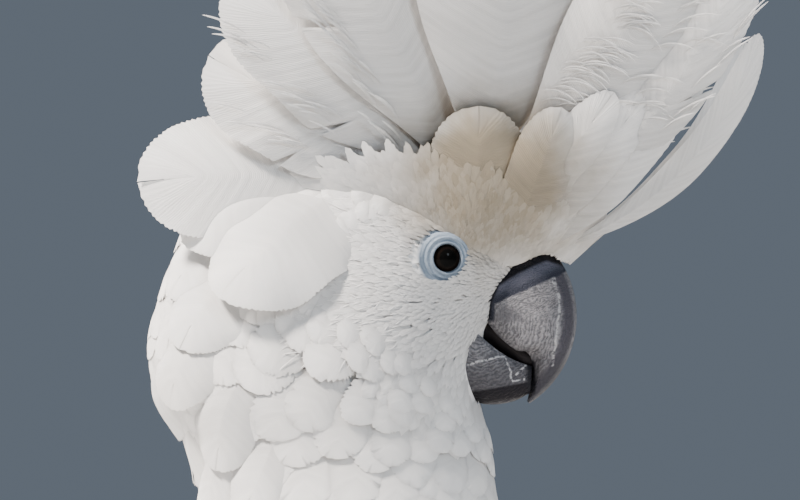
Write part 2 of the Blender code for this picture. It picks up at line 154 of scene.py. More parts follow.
CULMEN = (8.0, -17.0)  # the bill's ridge is an arc round this point
CULMEN_RADIUS = 30.0
CULMEN_TURN = (52.0, -57.0)
UPPER_EDGE = np.array(
    [
        [0.0, 8.0, -9.0, 9.5],
        [0.15, 11.0, -17.0, 11.8],
        [0.35, 14.0, -22.0, 11.6],
        [0.52, 19.5, -26.6, 10.4],
        [0.60, 24.2, -27.0, 9.2],
        [0.74, 25.8, -31.6, 7.4],
        [0.88, 25.0, -37.4, 5.0],
        [1.0, 23.6, -41.6, 1.6],
    ]
)
LOWER_BILL = np.array(
    [
        [0.0, 2.0, -22.0, -3.0, -37.0, 8.5],
        [0.2, 8.0, -19.6, 2.0, -39.2, 11.2],
        [0.5, 13.8, -24.4, 11.0, -42.4, 10.4],
        [0.8, 19.6, -28.2, 19.0, -41.8, 8.2],
        [1.0, 24.8, -30.4, 24.4, -39.2, 6.0],
    ]
)

# Crest feathers of one side from the nape forward: root x, z and distance from the mid plane, direction in
# profile, lean away from the mid plane, length, width, bend towards the nape, and curl to the other side.
CREST_SIDE = [
    (-11.0, 20.0, 12.0, 171, 14, 78, 36, 12, 18),
    (-8.0, 23.5, 10.5, 150, 20, 70, 34, -4, 22),
    (-3.0, 25.5, 10.0, 133, 23, 82, 36, 2, 24),
    (3.0, 26.0, 9.5, 114, 23, 108, 42, 8, 24),
    (10.0, 24.5, 9.0, 78, 23, 118, 54, 10, 23),
    (17.0, 20.0, 8.5, 43, 22, 119, 40, 22, 22),
    (25.0, 13.0, 7.5, 29, 19, 113, 20, 48, 20),
    (34.0, 4.0, 6.0, 18.5, 11, 86, 9.5, 56, 12),
]
CREST_MIDDLE = [
    (-2.0, 28.0, 0.0, 126, 0, 96, 24, 0, 14),
    (7.0, 27.0, 0.0, 102, 0, 118, 28, 0, 18),
    (16.0, 22.0, 0.0, 72, 0, 121, 28, 0, 24),
    (25.0, 14.0, 0.0, 50, 0, 112, 24, 0, 36),
    (33.0, 4.0, 0.0, 36, 0, 84, 16, 0, 42),
]
# Coverts over the crest's foot on each side, the lowest in the pile first, in the same terms.
CREST_COVERTS = [
    (-8.0, 15.0, 13.0, 140, 15, 40, 24, 2, 18),
    (26.0, 2.0, 7.5, 40, 18, 66, 13, 14, 16),
    (20.0, 5.0, 9.0, 43, 20, 58, 15, 9, 16),
    (15.0, 6.0, 10.5, 48, 21, 54, 15, 5, 17),
    (8.0, 4.0, 14.0, 86, 18, 40, 28, 2, 18),
    (19.0, 5.0, 11.0, 68, 25, 42, 18, 2, 17),
    (24.0, 3.0, 9.0, 55, 22, 30, 13, 3, 16),
]
# Feathering that rises from forehead, lores and crown over the crest's foot, from the middle of the forehead
# back: x, z and distance from the mid plane, direction in profile, lean from the mid plane, and reach.
RISE = np.array(
    [
        [36.5, -1.6, 0.0, 42, 0, 12],
        [34.0, -0.8, 4.5, 42, 7, 14],
        [28.8, 1.4, 8.8, 45, 11, 18],
        [22.0, -1.0, 11.4, 52, 13, 21],
        [15.5, -1.5, 12.9, 64, 13, 23],
        [7.0, 2.5, 16.5, 84, 12, 23],
        [-2.0, 8.5, 18.2, 104, 11, 21],
        [-10.0, 13.5, 19.2, 126, 10, 19],
        [-20.0, 17.0, 19.2, 150, 6, 17],
        [-32.0, 18.5, 18.8, 170, 0, 15],
    ]
)
RISE_CURL = math.radians(0.45)  # how far it turns in towards the mid plane for each millimetre
# Long loose feathers at the back of the head and down the nape: root x and z, tip x and z, width and how
# far the tip stands off.
LOBES = [
    (-44, -40, -58, -76, 19, 2.0),
    (-58, -40, -70, -78, 20, 2.0),
    (-68, -34, -77, -66, 20, 1.5),
    (-50, -24, -64, -60, 21, 2.5),
    (-66, -18, -78, -52, 22, 2.0),
    (-58, -8, -76, -42, 23, 3.0),
    (-70, 2, -79, -30, 24, 1.0),
    (-54, 4, -74, -26, 26, 3.0),
    (-56, 18, -78, -12, 26, 2.0),
    (-34, 22, -72, 14, 30, 3.0),
    (-33, 23, -72, 3, 30, 6.0),
    (-27, 22, -62, -13, 36, 7.5),
]

TONGUE_PITCH = math.radians(-38)
BILL_BASE = np.array([17.0, 0.0, -9.0])
# The edge of the feathering in profile, from the chin past the gape to the forehead: z, and the x behind
# which feathers grow.
FEATHER_EDGE_Z = np.array([-46.0, -43.5, -40.0, -32.0, -24.0, -19.0, -16.0, -10.7, -6.3, -3.6, -0.5, 1.2])
FEATHER_EDGE_X = np.array([60.0, 12.0, 4.5, 3.0, 4.5, 8.5, 10.6, 11.2, 14.2, 19.6, 27.0, 60.0])

# Distance from the bill's base and how long a small feather is there.
FEATHER_LENGTH = np.array([
    (8, 2.8), (14, 3.8), (22, 6.0), (32, 11.0), (42, 17.5), (55, 24.0), (75, 27.0), (110, 29.0), (170, 33.0),
])
RING_MIDDLE = (-0.9, 0.3)  # the bare ring round an eye is an ellipse in profile
RING_REACH = (9.0, 7.2)

PATH_STEPS = 5  # stretches of the path that a small feather follows
PATCH = 0.003  # size of one feather's patch on the OFBake map


def smooth(low, high, value):
    share = np.clip((value - low) / (high - low), 0.0, 1.0)
    return share * share * (3 - 2 * share)


def mix(first, second, share):
    return first + (second - first) * share


def unit(vectors):
    return vectors / (np.linalg.norm(vectors, axis=-1, keepdims=True) + 1e-9)


def dot(first, second):
    return np.sum(first * second, -1, keepdims=True)


def world(points):
    """Millimetres from the eye line to metres in the frame."""
    return np.asarray(points) * MM + EYE_LINE


def spline(table, at):
    """Rows of a table at fractional row numbers, on a Catmull-Rom curve."""
    last = len(table) - 1
    at = np.clip(at, 0.0, last - 1e-6)
    low = at.astype(int)
    share = (at - low)[..., None]
    rows = [table[np.clip(low + step, 0, last)] for step in (-1, 0, 1, 2)]
    cubic = -rows[0] + 3 * rows[1] - 3 * rows[2] + rows[3]
    square = 2 * rows[0] - 5 * rows[1] + 4 * rows[2] - rows[3]
    return 0.5 * (2 * rows[1] + (rows[2] - rows[0]) * share + square * share**2 + cubic * share**3)


def spline_by_first(table, value):
    """Rows of a table at values of its first column."""
    return spline(table, np.interp(value, table[:, 0], np.arange(len(table))))


def powered(value, power):
    return np.sign(value) * np.abs(value) ** (2 / power)


def show(name, data):
    """A new object in the scene."""
    obj = bpy.data.objects.new(name, data)
    bpy.context.scene.collection.objects.link(obj)
    return obj


def close_rims(shape):
    rims = [edge for edge in shape.edges if edge.is_boundary]
    bmesh.ops.holes_fill(shape, edges=rims, sides=0)


# ---------------------------------------------------------------- sheets


def body_point(at, angle):
    x, z, pitch, front, back, half_width, front_power, back_power = np.moveaxis(spline(BODY, at), -1, 0)
    forward, sideways = np.cos(angle), np.sin(angle)
    ahead = forward >= 0
    power = np.where(ahead, front_power, back_power)
    along = np.where(ahead, front, back) * powered(forward, power)
    side = half_width * powered(sideways, power)
    tilt = np.radians(pitch)
    return np.stack([x + along * np.cos(tilt), side, z + along * np.sin(tilt)], -1)


def thigh_sheet(side):
    """The feathered leg: a runs from hip to ankle."""
    centres = np.array([HIP, KNEE, ANKLE]) * (1, side, 1)
    reaches = np.array(THIGH_REACH)

    def point(at, angle):
        at = np.clip(at, 0.0, 1.0)
        shares = np.stack([(1 - at) ** 2, 2 * at * (1 - at), at**2], -1)
        reach = shares @ reaches
        centre = shares @ centres
        return centre + np.stack([reach[..., 0] * np.cos(angle), reach[..., 1] * np.sin(angle), 0 * at], -1)

    return point


def wing_sheet(side):
    """The outside of a folded wing: a as on the body, b from the lower edge (0) to the upper (side)."""

    def point(a, b):
        v = b * side
        lower, upper, thickness = [np.interp(a, WING[:, 0], WING[:, column]) for column in (1, 2, 3)]
        place, _, _, normal = sheet_frame(body_point, a, side * np.radians(mix(lower, upper, v)))
        bulge = np.sin(math.pi * np.clip(v, 0.0, 1.0)) ** 0.6
        return place + normal * (WING_CLEARANCE + thickness * bulge)[..., None]

    return point


def rise_sheet(side):
    """The feathering over the crest's foot: a runs up from its edge (0 to 1), b from the crown (0) forward to
    the middle of the forehead (side)."""

    def point(a, b):
        x, z, y, turn, lean, reach = np.moveaxis(spline(RISE, (1 - b * side) * (len(RISE) - 1)), -1, 0)
        turn, lean = np.radians(turn), np.radians(lean)
        run = a * reach
        level = run * np.cos(lean)
        out = y + run * np.sin(lean) - 0.5 * RISE_CURL * run * np.abs(run)
        return np.stack([x + level * np.cos(turn), side * out, z + level * np.sin(turn)], -1)

    return point


def sheet_frame(point, a, b, step=2e-3):
    """Place, change with a, change with b, and outward normal of a sheet."""
    along = (point(a + step, b) - point(a - step, b)) / (2 * step)
    across = (point(a, b + step) - point(a, b - step)) / (2 * step)
    return point(a, b), along, across, unit(np.cross(along, across))


def in_sheet(along, across, direction):
    """How far a and b move for a step of one millimetre in a direction."""
    aa = np.sum(along * along, -1) + 1e-3
    bb = np.sum(across * across, -1) + 1e-3
    ab = np.sum(along * across, -1)
    ad = np.sum(along * direction, -1)
    bd = np.sum(across * direction, -1)
    fall = aa * bb - ab * ab
    return (ad * bb - bd * ab) / fall, (bd * aa - ad * ab) / fall


def body_lie(place, a, normal):
    """The way that feathers lie on the body: away from the bill on the head, then down to the tail."""
    from_bill = (place - BILL_BASE) * (1.0, 0.35, 0.8) - (6.0, 0.0, 0.0)
    pitch = np.radians(spline(BODY, a)[..., 2])
    down = np.stack([np.sin(pitch), 0 * pitch, -np.cos(pitch)], -1)
    share = np.maximum(smooth(-22.0, -62.0, place[..., 2]), smooth(-48.0, -78.0, place[..., 0]) * 0.8)
    lie = mix(unit(from_bill), down, share[..., None])
    return unit(lie - normal * dot(lie, normal))


def steady_lie(direction):
    def lie(place, a, normal):
        level = np.zeros_like(place) + direction
        return unit(level - normal * dot(level, normal))

    return lie


def feather_edge(place):
    """How far behind the edge of the feathering a place lies, in profile."""
    return np.interp(place[..., 2], FEATHER_EDGE_Z, FEATHER_EDGE_X) - place[..., 0]


def eye_distance(place):
    """Distance in profile from the middle of an eye, counting the bare ring as an ellipse of radius 1."""
    ahead = (place[..., 0] - RING_MIDDLE[0]) / RING_REACH[0]
    up = (place[..., 2] - RING_MIDDLE[1]) / RING_REACH[1]
    return np.hypot(ahead, up)


def bill_distance(place):
    """Distance from the bill's base, short along the band of hairy feathers behind the eye."""
    back = place[..., 0] - BILL_BASE[0]
    up = place[..., 2] - BILL_BASE[2]
    squeezed = 1 - 0.38 * smooth(-26.0, -12.0, place[..., 2]) * (1 - smooth(8.0, 20.0, place[..., 2]))
    return np.hypot(back * squeezed, up)


def coat_depth(place):
    """How far the skin lies under the feather tips."""
    depth = 0.9 + 2.6 * smooth(26.0, 62.0, bill_distance(place))
    return depth * (0.75 + 0.25 * smooth(0.8, 1.6, eye_distance(place)))


def feather_length(place):
    return np.interp(bill_distance(place), *FEATHER_LENGTH.T)


def wing_cover(a, angle, margin=0.0):
    """1 where the folded wing lies on the body, less a margin in degrees."""
    lower = np.interp(a, WING[:, 0], WING[:, 1]) + margin
    upper = np.interp(a, WING[:, 0], WING[:, 2]) - margin
    turn = np.degrees(np.abs(np.mod(angle + math.pi, math.tau) - math.pi))
    inside = np.minimum(turn - lower, upper - turn)
    return smooth(0.0, 14.0, inside) * smooth(WING[0, 0], 12.3, a)


# ---------------------------------------------------------------- feathers


def outline(t):
    """Half width of a small feather at a share of its length, as a share of its greatest."""
    tip = np.sqrt(np.maximum(1 - np.maximum((t - 0.6) / 0.4, 0.0) ** 2.2, 0.0))
    return (0.3 + 0.7 * smooth(-0.1, 0.5, t)) * tip


def small_feather(rows, columns, fray, camber, barb_lean, seed):
    """A small closed feather, its barbs swept towards the tip, in shares of its length and half width. A
    corner is along, across, cup, thickness and where its barb is rooted."""
    random = np.random.default_rng(seed)
    notch = random.uniform(0, fray, (2, rows + 1)) * np.where(np.arange(rows + 1) % 2, 1.0, 0.25)
    shape = bmesh.new()
    number = shape.verts.layers.int.new("number")
    bmesh.ops.create_grid(shape, x_segments=rows, y_segments=columns + 1, size=0.5)
    row = np.array([round((vert.co.x + 0.5) * rows) for vert in shape.verts])
    ring = np.array([round((vert.co.y + 0.5) * (columns + 1)) for vert in shape.verts])
    across = np.append(np.linspace(-1, 1, columns + 1), -1)[ring]
    station = 1 - (1 - row / rows) ** 1.5
    edge = 0.1 + 0.9 * station
    cut = 1 - notch[(across > 0).astype(int), row]
    middle = (1 - barb_lean) * station
    along = mix(middle, edge, np.abs(across) ** 1.2 * cut)
    wide = across * np.maximum(outline(edge), 0.012) * cut
    table = np.stack([along, wide, -camber * wide * wide, 0 * wide, middle], -1)
    for index, vert in enumerate(shape.verts):
        vert[number] = index
        vert.co = table[index, :3]
    return closed(shape, number, table)


def closed(shape, number, table):
    """Joins the rim of a rolled-up pattern and returns its corners and triangles, upper faces turned up."""
    bmesh.ops.remove_doubles(shape, verts=shape.verts[:], dist=1e-5)
    close_rims(shape)
    bmesh.ops.triangulate(shape, faces=shape.faces[:])
    bmesh.ops.recalc_face_normals(shape, faces=shape.faces[:])
    shape.verts.index_update()
    corners = table[[vert[number] for vert in shape.verts]]
    triangles = np.array([[vert.index for vert in face.verts] for face in shape.faces])
    shape.free()
    return corners, triangles


VANE_COLUMNS = np.array([-1.0, -0.8, -0.58, -0.36, -0.16, -0.04, 0.04, 0.16, 0.36, 0.58, 0.8, 1.0])


def long_feather(rows, splits, fray, seed, foot=0.16, swell=0.5, tip=0.7, camber=0.16, wave=0.05, thick=0.5):
    """A long closed feather with a spine, split and frayed at its edges, given like a small one."""
    random = np.random.default_rng(seed)
    top = len(VANE_COLUMNS) - 1
    station = 1 - (1 - np.arange(rows + 1) / rows) ** 1.25
    odd = np.arange(rows + 1) % 2
    cut = 1 - fray * random.uniform(0.2, 1.0, (2, rows + 1)) * odd * (0.25 + 0.75 * smooth(0.4, 0.8, station))
    shift = np.zeros((2, rows + 1))
    for number in range(splits):
        hand = number % 2
        row = int(rows * random.uniform(0.3, 0.93))
        cut[hand, row] = random.uniform(0.25, 0.75)
        away = np.arange(rows + 1) - row
        shift[hand] += random.uniform(0.003, 0.011) * np.sign(away) * np.exp(-np.abs(away) / (0.05 * rows))
    phase = random.uniform(0, math.tau, 4)

    shape = bmesh.new()
    number = shape.verts.layers.int.new("number")
    bmesh.ops.create_grid(shape, x_segments=rows, y_segments=2 * top, size=0.5)
    row = np.array([round((vert.co.x + 0.5) * rows) for vert in shape.verts])
    ring = np.array([round((vert.co.y + 0.5) * 2 * top) for vert in shape.verts])
    across = np.concatenate([VANE_COLUMNS, VANE_COLUMNS[-2::-1]])[ring]
    hand = (across > 0).astype(int)
    edge = 0.02 + 0.98 * station[row]
    middle = np.maximum(edge - 0.2 * station[row] ** 0.7, 0.0)
    reach = np.abs(across) * cut[hand, row]
    along = mix(middle, edge + shift[hand, row] * reach, reach**1.2)
    half = mix(foot, 1.0, smooth(-0.05, swell, edge))
    half = half * np.sqrt(np.maximum(1 - np.maximum((edge - tip) / (1 - tip), 0.0) ** 2.3, 0.0))
    wide = np.sign(across) * reach * np.maximum(half, 0.004)
    ripple = np.sin(9 * middle + phase[hand]) + 0.6 * np.sin(23 * middle + phase[2 + hand])
    cup = -camber * wide * wide + wave * ripple * reach**2.5
    body = thick * np.sqrt(np.maximum(1 - across**4, 0.0)) * (1 - 0.5 * station[row])
    body = body + np.where(np.abs(across) < 0.05, 0.45 * (1 - station[row]) ** 0.6, 0.0)
    rise = np.where(ring <= top, 0.5, -0.5) * body
    rise = np.where((row == 0) | (row == rows) | (ring % top == 0), 0.0, rise)
    table = np.stack([along, wide, cup, rise, middle], -1)
    for index, vert in enumerate(shape.verts):
        vert[number] = index
        vert.co = (along[index], wide[index], cup[index] + 0.01 * rise[index])
    return closed(shape, number, table)


def family(feather, seed, count, *shape, **more):
    """Several feathers of one kind that differ in how they are frayed and split."""
    return [feather(*shape, seed=seed + number, **more) for number in range(count)]


class Coat:
    """Feathers gathered into one mesh."""

    def __init__(self):
        self.places, self.triangles, self.bake, self.vane, self.lie = [], [], [], [], []
        self.count = 0

    def add(self, pattern, places, across, length, bake):
        """Adds one pattern as many feathers. Places are feathers x corners x 3, and across says how far from
        its feather's middle each corner lies. Each feather has a length and a spot on the skin's unwrap."""
        corners, triangles = pattern
        feathers, count = places.shape[:2]
        bake = bake[:, None] + np.stack([corners[:, 1], 2 * corners[:, 0] - 1], -1) * PATCH / 2
        tint = np.mod(bake[:, :1, 0] * 917.3 + bake[:, :1, 1] * 357.1 + self.count * 0.618, 1.0)
        lie = np.stack(np.broadcast_arrays(corners[:, 0], tint, across)[:2], -1)
        vane = np.stack([across, corners[:, 4] * length[:, None]], -1) * MM
        starts = self.count + count * np.arange(feathers)
        self.triangles.append((triangles[None] + starts[:, None, None]).reshape(-1, 3))
        self.places.append(places.reshape(-1, 3))
        self.bake.append(bake.reshape(-1, 2))
        self.vane.append(vane.reshape(-1, 2))
        self.lie.append(lie.reshape(-1, 2))
        self.count += feathers * count

    def build(self, name, material, *nodes):
        triangles = np.concatenate(self.triangles).astype(np.int32)
        mesh = bpy.data.meshes.new(name)
        mesh.vertices.add(self.count)
        mesh.vertices.foreach_set("co", world(np.concatenate(self.places)).astype(np.float32).ravel())
        mesh.loops.add(triangles.size)
        mesh.loops.foreach_set("vertex_index", triangles.ravel())
        mesh.polygons.add(len(triangles))
        mesh.polygons.foreach_set("loop_start", np.arange(0, triangles.size, 3, dtype=np.int32))
        mesh.update(calc_edges=True)
        for map_name, spots in (("OFBake", self.bake), ("vane", self.vane), ("lie", self.lie)):
            layer = mesh.uv_layers.new(name=map_name)
            looped = np.concatenate(spots)[triangles.ravel()]
            layer.uv.foreach_set("vector", looped.astype(np.float32).ravel())
        mesh.materials.append(material)
        mesh.shade_smooth()
        mesh.set_sharp_from_angle(angle=math.radians(75))
        obj = show(name, mesh)
        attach(obj, "root")
        if nodes:
            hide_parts(*nodes)


def body_unwrap(a, b):
    """Where a root lies on the skin's unwrap."""
    return np.stack([0.03 + 0.94 * np.mod(b / math.tau, 1.0), 0.25 + 0.72 * np.clip(a / TAIL_ROOT, 0, 1)], -1)


def scatter(point, a_range, b_range, spacing, tries, picks, seed):
    """Roots spread evenly over a sheet, each at least its own spacing from the others."""
    random = np.random.default_rng(seed)
    a = random.uniform(*a_range, tries)
    b = random.uniform(*b_range, tries)
    place, along, across, _ = sheet_frame(point, a, b)
    gap = spacing(place, a, b)
    area = np.linalg.norm(np.cross(along, across), axis=-1)
    chance = np.where(gap > 0, area / np.maximum(gap, 0.1) ** 2, 0.0)
    picks = min(picks, int((chance > 0).sum()))
    chosen = random.choice(tries, picks, replace=False, p=chance / chance.sum())
    tree = kdtree.KDTree(picks)
    for number, pick in enumerate(chosen):
        tree.insert(place[pick], number)
    tree.balance()
    crowded = np.zeros(picks, bool)
    kept = []
    for number, pick in enumerate(chosen):
        if crowded[number]:
            continue
        kept.append(pick)
        for _, near, _ in tree.find_range(place[pick], gap[pick]):
            crowded[near] = True
    return a[kept], b[kept]


def trace(point, lie, a, b, length, turn):
    """Paths that follow the lie of the coat from their roots: a and b at each step, and how they change
    across the path."""
    parts = []
    for _ in range(PATH_STEPS + 1):
        place, along, across, normal = sheet_frame(point, a, b)
        way = lie(place, a, normal)
        aside = np.cross(normal, way)
        way, aside = way * np.cos(turn) + aside * np.sin(turn), aside * np.cos(turn) - way * np.sin(turn)
        parts.append((a, b, *in_sheet(along, across, aside)))
        move_a, move_b = in_sheet(along, across, way)
        a = a + move_a * length / PATH_STEPS
        b = b + move_b * length / PATH_STEPS
    return [np.stack(part, -1) for part in zip(*parts)]


def straight(point, roots, tips, steps):
    """Paths straight across a sheet from roots to tips, given as pairs (a, b), and their lengths."""
    share = np.linspace(0, 1, steps + 1)
    roots, tips = np.asarray(roots, float), np.asarray(tips, float)
    a = mix(roots[:, :1], tips[:, :1], share)
    b = mix(roots[:, 1:], tips[:, 1:], share)
    place, along, across, normal = sheet_frame(point, a, b)
    way = unit(np.gradient(place, axis=1))
    wide_a, wide_b = in_sheet(along, across, np.cross(normal, way))
    return [a, b, wide_a, wide_b], np.linalg.norm(np.diff(place, axis=1), axis=-1).sum(1)


def drape(coat, point, paths, pattern, length, width, low, high, bake):
    """Lays one pattern along paths on a sheet. The feathers start low millimetres over it and end at high."""
    share, aside, cup, thickness = pattern[0][:, :4].T
    steps = paths[0].shape[1] - 1
    t = np.clip(share, 0, 1) * steps
    before = np.minimum(t.astype(int), steps - 1)
    at_a, at_b, wide_a, wide_b = [mix(path[:, before], path[:, before + 1], t - before) for path in paths]
    width, low, high = width[:, None], low[:, None], high[:, None]
    across = aside * width / 2
    place, _, _, normal = sheet_frame(point, at_a + wide_a * across, at_b + wide_b * across)
    height = mix(low, high, smooth(0.0, 0.8, share)) + cup * width / 2 + thickness
    coat.add(pattern, place + normal * height[..., None], across, length, bake)


def lay(coat, point, lie, unwrap, a, b, length, width, low, high, patterns, splay, seed):
    """Covers a sheet with feathers that grow from roots and follow a lie."""
    random = np.random.default_rng(seed)
    count = len(a)
    paths = trace(point, lie, a, b, length, random.normal(0, splay, count)[:, None])
    kinds = random.integers(0, len(patterns), count)
    high = high * random.uniform(0.7, 1.3, count)
    width, low = np.broadcast_to(width, count), np.broadcast_to(low, count)
    for kind, pattern in enumerate(patterns):
        some = np.flatnonzero(kinds == kind)
        if len(some):
            chosen = [path[some] for path in paths]
            bake = unwrap(a[some], b[some])
            drape(coat, point, chosen, pattern, length[some], width[some], low[some], high[some], bake)


def arching(root, turn, lean, length, bend, curl, shingle, side):
    """Sheet of a feather that arches away from its root: share of its length, across and height."""
    turn, lean, shingle = map(math.radians, (turn, lean, shingle))
    rise = np.array([math.cos(turn), 0.0, math.sin(turn)])
    aside = np.array([0.0, side, 0.0])
    if side:
        direction = rise * math.cos(lean) + aside * math.sin(lean)
        broad = np.array([-math.sin(turn), 0.0, math.cos(turn)])
        normal = aside * math.cos(lean) - rise * math.sin(lean)
        broad, normal = (
            broad * math.cos(shingle) - normal * math.sin(shingle),
            normal * math.cos(shingle) + broad * math.sin(shingle),
        )
    else:
        direction = rise
        broad = np.array([0.0, 1.0, 0.0])
        normal = np.array([math.sin(turn), 0.0, -math.cos(turn)])
    inward = broad * bend - normal * curl
    sweep = math.radians(np.linalg.norm(inward))
    inward = unit(inward)
    beside = np.cross(direction, inward)

    def point(t, across, height):
        turned = (sweep * t)[:, None]
        reach = length / sweep
        spine = root + (direction * np.sin(turned) + inward * (1 - np.cos(turned))) * reach
        inward_now = inward * np.cos(turned) - direction * np.sin(turned)
        broad_now = inward_now * np.dot(broad, inward) + beside * np.dot(broad, beside)
        normal_now = inward_now * np.dot(normal, inward) + beside * np.dot(normal, beside)
        return spine + broad_now * across[:, None] + normal_now * height[:, None]

    return point


def plant(coat, sheet, pattern, length, width, bake):
    """Puts one pattern on a sheet of its own."""
    share, aside, cup, thickness = pattern[0][:, :4].T
    across = aside * width / 2
    places = sheet(share, across, cup * width / 2 + thickness)
    coat.add(pattern, places[None], across[None], np.array([length]), bake[None])


# ---------------------------------------------------------------- plumage


def small_feathers(material):
    """The coat of head, neck, trunk and legs."""
    tufts = family(small_feather, 0, 5, 6, 2, 0.4, 0.08, 0.3)
    scales = family(small_feather, 20, 6, 34, 4, 0.2, 0.05, 0.22)
    broad = family(small_feather, 40, 5, 14, 4, 0.35, 0.06, 0.2)

    def face_gap(place, a, b):
        mouth = (np.abs(place[..., 1]) < 6.0) & (place[..., 2] > -40.0) & (place[..., 2] < -1.0)
        feathered = (feather_edge(place) > -2.6) & ~mouth & (eye_distance(place) > 0.98)
        grows = feathered & (bill_distance(place) < 38)
        return np.where(grows, 0.145 * feather_length(place) + 0.12, 0.0)

    def head_gap(place, a, b):
        grows = (feather_edge(place) > 0.3) & (bill_distance(place) >= 29.5) & (a < 8.2)
        return np.where(grows, 0.30 * feather_length(place), 0.0)

    def body_gap(place, a, b):
        return np.where((a > 7.9) & (wing_cover(a, b, 6.0) < 0.5), 0.31 * feather_length(place), 0.0)

    def lay_on_body(coat, a, b, wide, sunk, stand, patterns, splay, seed):
        place = body_point(a, b)
        length = feather_length(place) * (1 - 0.25 * smooth(16, 19, a))
        low, high = -sunk * coat_depth(place), stand + 0.01 * length
        width = wide * length * (1 + 0.7 * smooth(4.0, 12.0, length))
        lay(coat, body_point, body_lie, body_unwrap, a, b, length, width, low, high, patterns, splay, seed)

    face = Coat()
    a, b = scatter(body_point, (0.3, 8.0), (-2.2, 2.2), face_gap, 400000, 60000, 1)
    lay_on_body(face, a, b, 0.24, 0.14, 0.03, tufts, 0.12, 2)
    face.build("face_feathers", material)

    def hair_gap(place, a, b):
        band = smooth(-26.0, -18.0, place[..., 2]) * smooth(26.0, 20.0, place[..., 2]) * (place[..., 0] > -44)
        return np.where((band > 0) & (place[..., 0] < -9), 1.35, 0.0)

    strands = family(small_feather, 50, 3, 6, 2, 0.0, 0.5, 0.05)
    hairs = Coat()
    a, b = scatter(body_point, (0.3, 8.0), (-math.pi, math.pi), hair_gap, 60000, 16000, 15)
    length = np.minimum(0.9 * feather_length(body_point(a, b)), 10.0)
    lay(hairs, body_point, body_lie, body_unwrap, a, b, length, 0.45, -0.2, 0.2, strands, 0.3, 16)
    hairs.build("face_hairs", material)

    head = Coat()
    a, b = scatter(body_point, (0.3, 8.2), (-math.pi, math.pi), head_gap, 120000, 14000, 3)
    lay_on_body(head, a, b, 0.45, 0.45, 0.35, scales, 0.14, 4)
    head.build("head_feathers", material)

    for name, start, end, seed in (("neck_feathers", 7.9, 12.6, 5), ("body_feathers", 12.6, 19.3, 6)):
        body = Coat()
        a, b = scatter(body_point, (start, end), (-math.pi, math.pi), body_gap, 90000, 12000, seed)
        lay_on_body(body, a, b, 0.36, 0.45, 0.3, broad, 0.09, seed)
        body.build(name, material)

    legs = Coat()
    for side in SIDES.values():

        def leg_unwrap(a, b, side=side):
            return np.stack([0.27 + 0.25 * side + 0.2 * np.mod(b / math.tau, 1.0), 0.02 + 0.18 * a], -1)

        def leg_gap(place, a, b):
            return 3.2 + 0 * a

        point = thigh_sheet(side)
        a, b = scatter(point, (0.05, 0.93), (-math.pi, math.pi), leg_gap, 20000, 5000, 11)
        length = mix(16.0, 8.0, a)
        lie = steady_lie((-0.15, 0.0, -1.0))
        lay(legs, point, lie, leg_unwrap, a, b, length, 0.5 * length, -2.4, 0.4, broad, 0.12, 12)
    legs.build("leg_feathers", material)


def forehead(material):
    """Soft short feathers that rise from the forehead and crown over the crest's foot."""
    downy = family(small_feather, 30, 4, 8, 2, 0.22, 0.05, 0.35)
    under = family(small_feather, 36, 2, 8, 2, 0.3, 0.05, 0.25)
    # spacing and width as shares of the length, root and tip height, how far up they start, patterns, seed
    layers = ((0.25, 0.6, -0.6, -0.12, 0.62, under, 17), (0.135, 0.27, -0.22, 0.04, 0.72, downy, 18))

    def rise_length(a):
        return mix(4.4, 10.5, np.clip(a / 0.75, 0, 1))

    coat = Coat()
    for side in SIDES.values():
        sheet = rise_sheet(side)
        edges = tuple(sorted((0.0, side)))

        def rise_unwrap(a, b, side=side):
            return body_unwrap(2.0 + 2.0 * (1 - a), side * 1.4 * (1 - np.abs(b)))

        for spacing, wide, low, high, top, patterns, seed in layers:

            def gap(place, a, b, spacing=spacing):
                return spacing * rise_length(a)

            a, b = scatter(sheet, (-0.06, top), edges, gap, 60000, 14000, seed)
            up_the_sheet = unit(sheet_frame(sheet, a, b)[1])
            length = rise_length(a)

            def lie(place, a, normal, way=up_the_sheet):
                return way

            lay(coat, sheet, lie, rise_unwrap, a, b, length, wide * length, low, high, patterns, 0.16, seed)
    coat.build("forehead_feathers", material)


def loosen(coat, sheet, strands, length, width, aside, span, angle, rise, count, bake, random):
    """Loose barbs that part from a long feather and curl away to one side."""
    for _ in range(count):
        start = random.uniform(*span)
        off = width * random.uniform(*aside)
        size = random.uniform(9.0, 15.0)
        turn = angle * random.uniform(0.7, 1.3)
        lift = rise * random.uniform(0.6, 1.2)

        def curved(t, across, height):
            along = t * size
            bent = turn * (0.4 + t)
            steered = start + (along * np.cos(bent) - across * math.sin(turn)) / length
            beside = off + along * np.sin(bent) + across * math.cos(turn)
            return sheet(steered, beside, height + lift * np.sqrt(t))

        plant(coat, curved, strands[random.integers(len(strands))], size, 0.6, bake)


# Loose barbs of a side's long feathers: feather, where they start across its width (+ towards the nape), the
# span of its length, angle towards the nape, how far they stand off, and count.
LOOSE_BARBS = [
    (1, (0.2, 0.36), (0.4, 0.8), 0.2, 0.8, 10),
    (1, (-0.4, -0.22), (0.3, 0.85), -0.25, 1.0, 14),
    (2, (0.22, 0.4), (0.3, 0.85), 0.25, 1.0, 16),
    (3, (0.22, 0.4), (0.1, 0.6), 0.22, 1.0, 34),
    (5, (0.08, 0.34), (0.22, 0.55), -0.8, 1.5, 44),
    (5, (-0.36, -0.1), (0.3, 0.65), -0.6, 1.5, 18),
    (6, (-0.4, -0.22), (0.3, 0.7), -0.3, 1.2, 8),
]


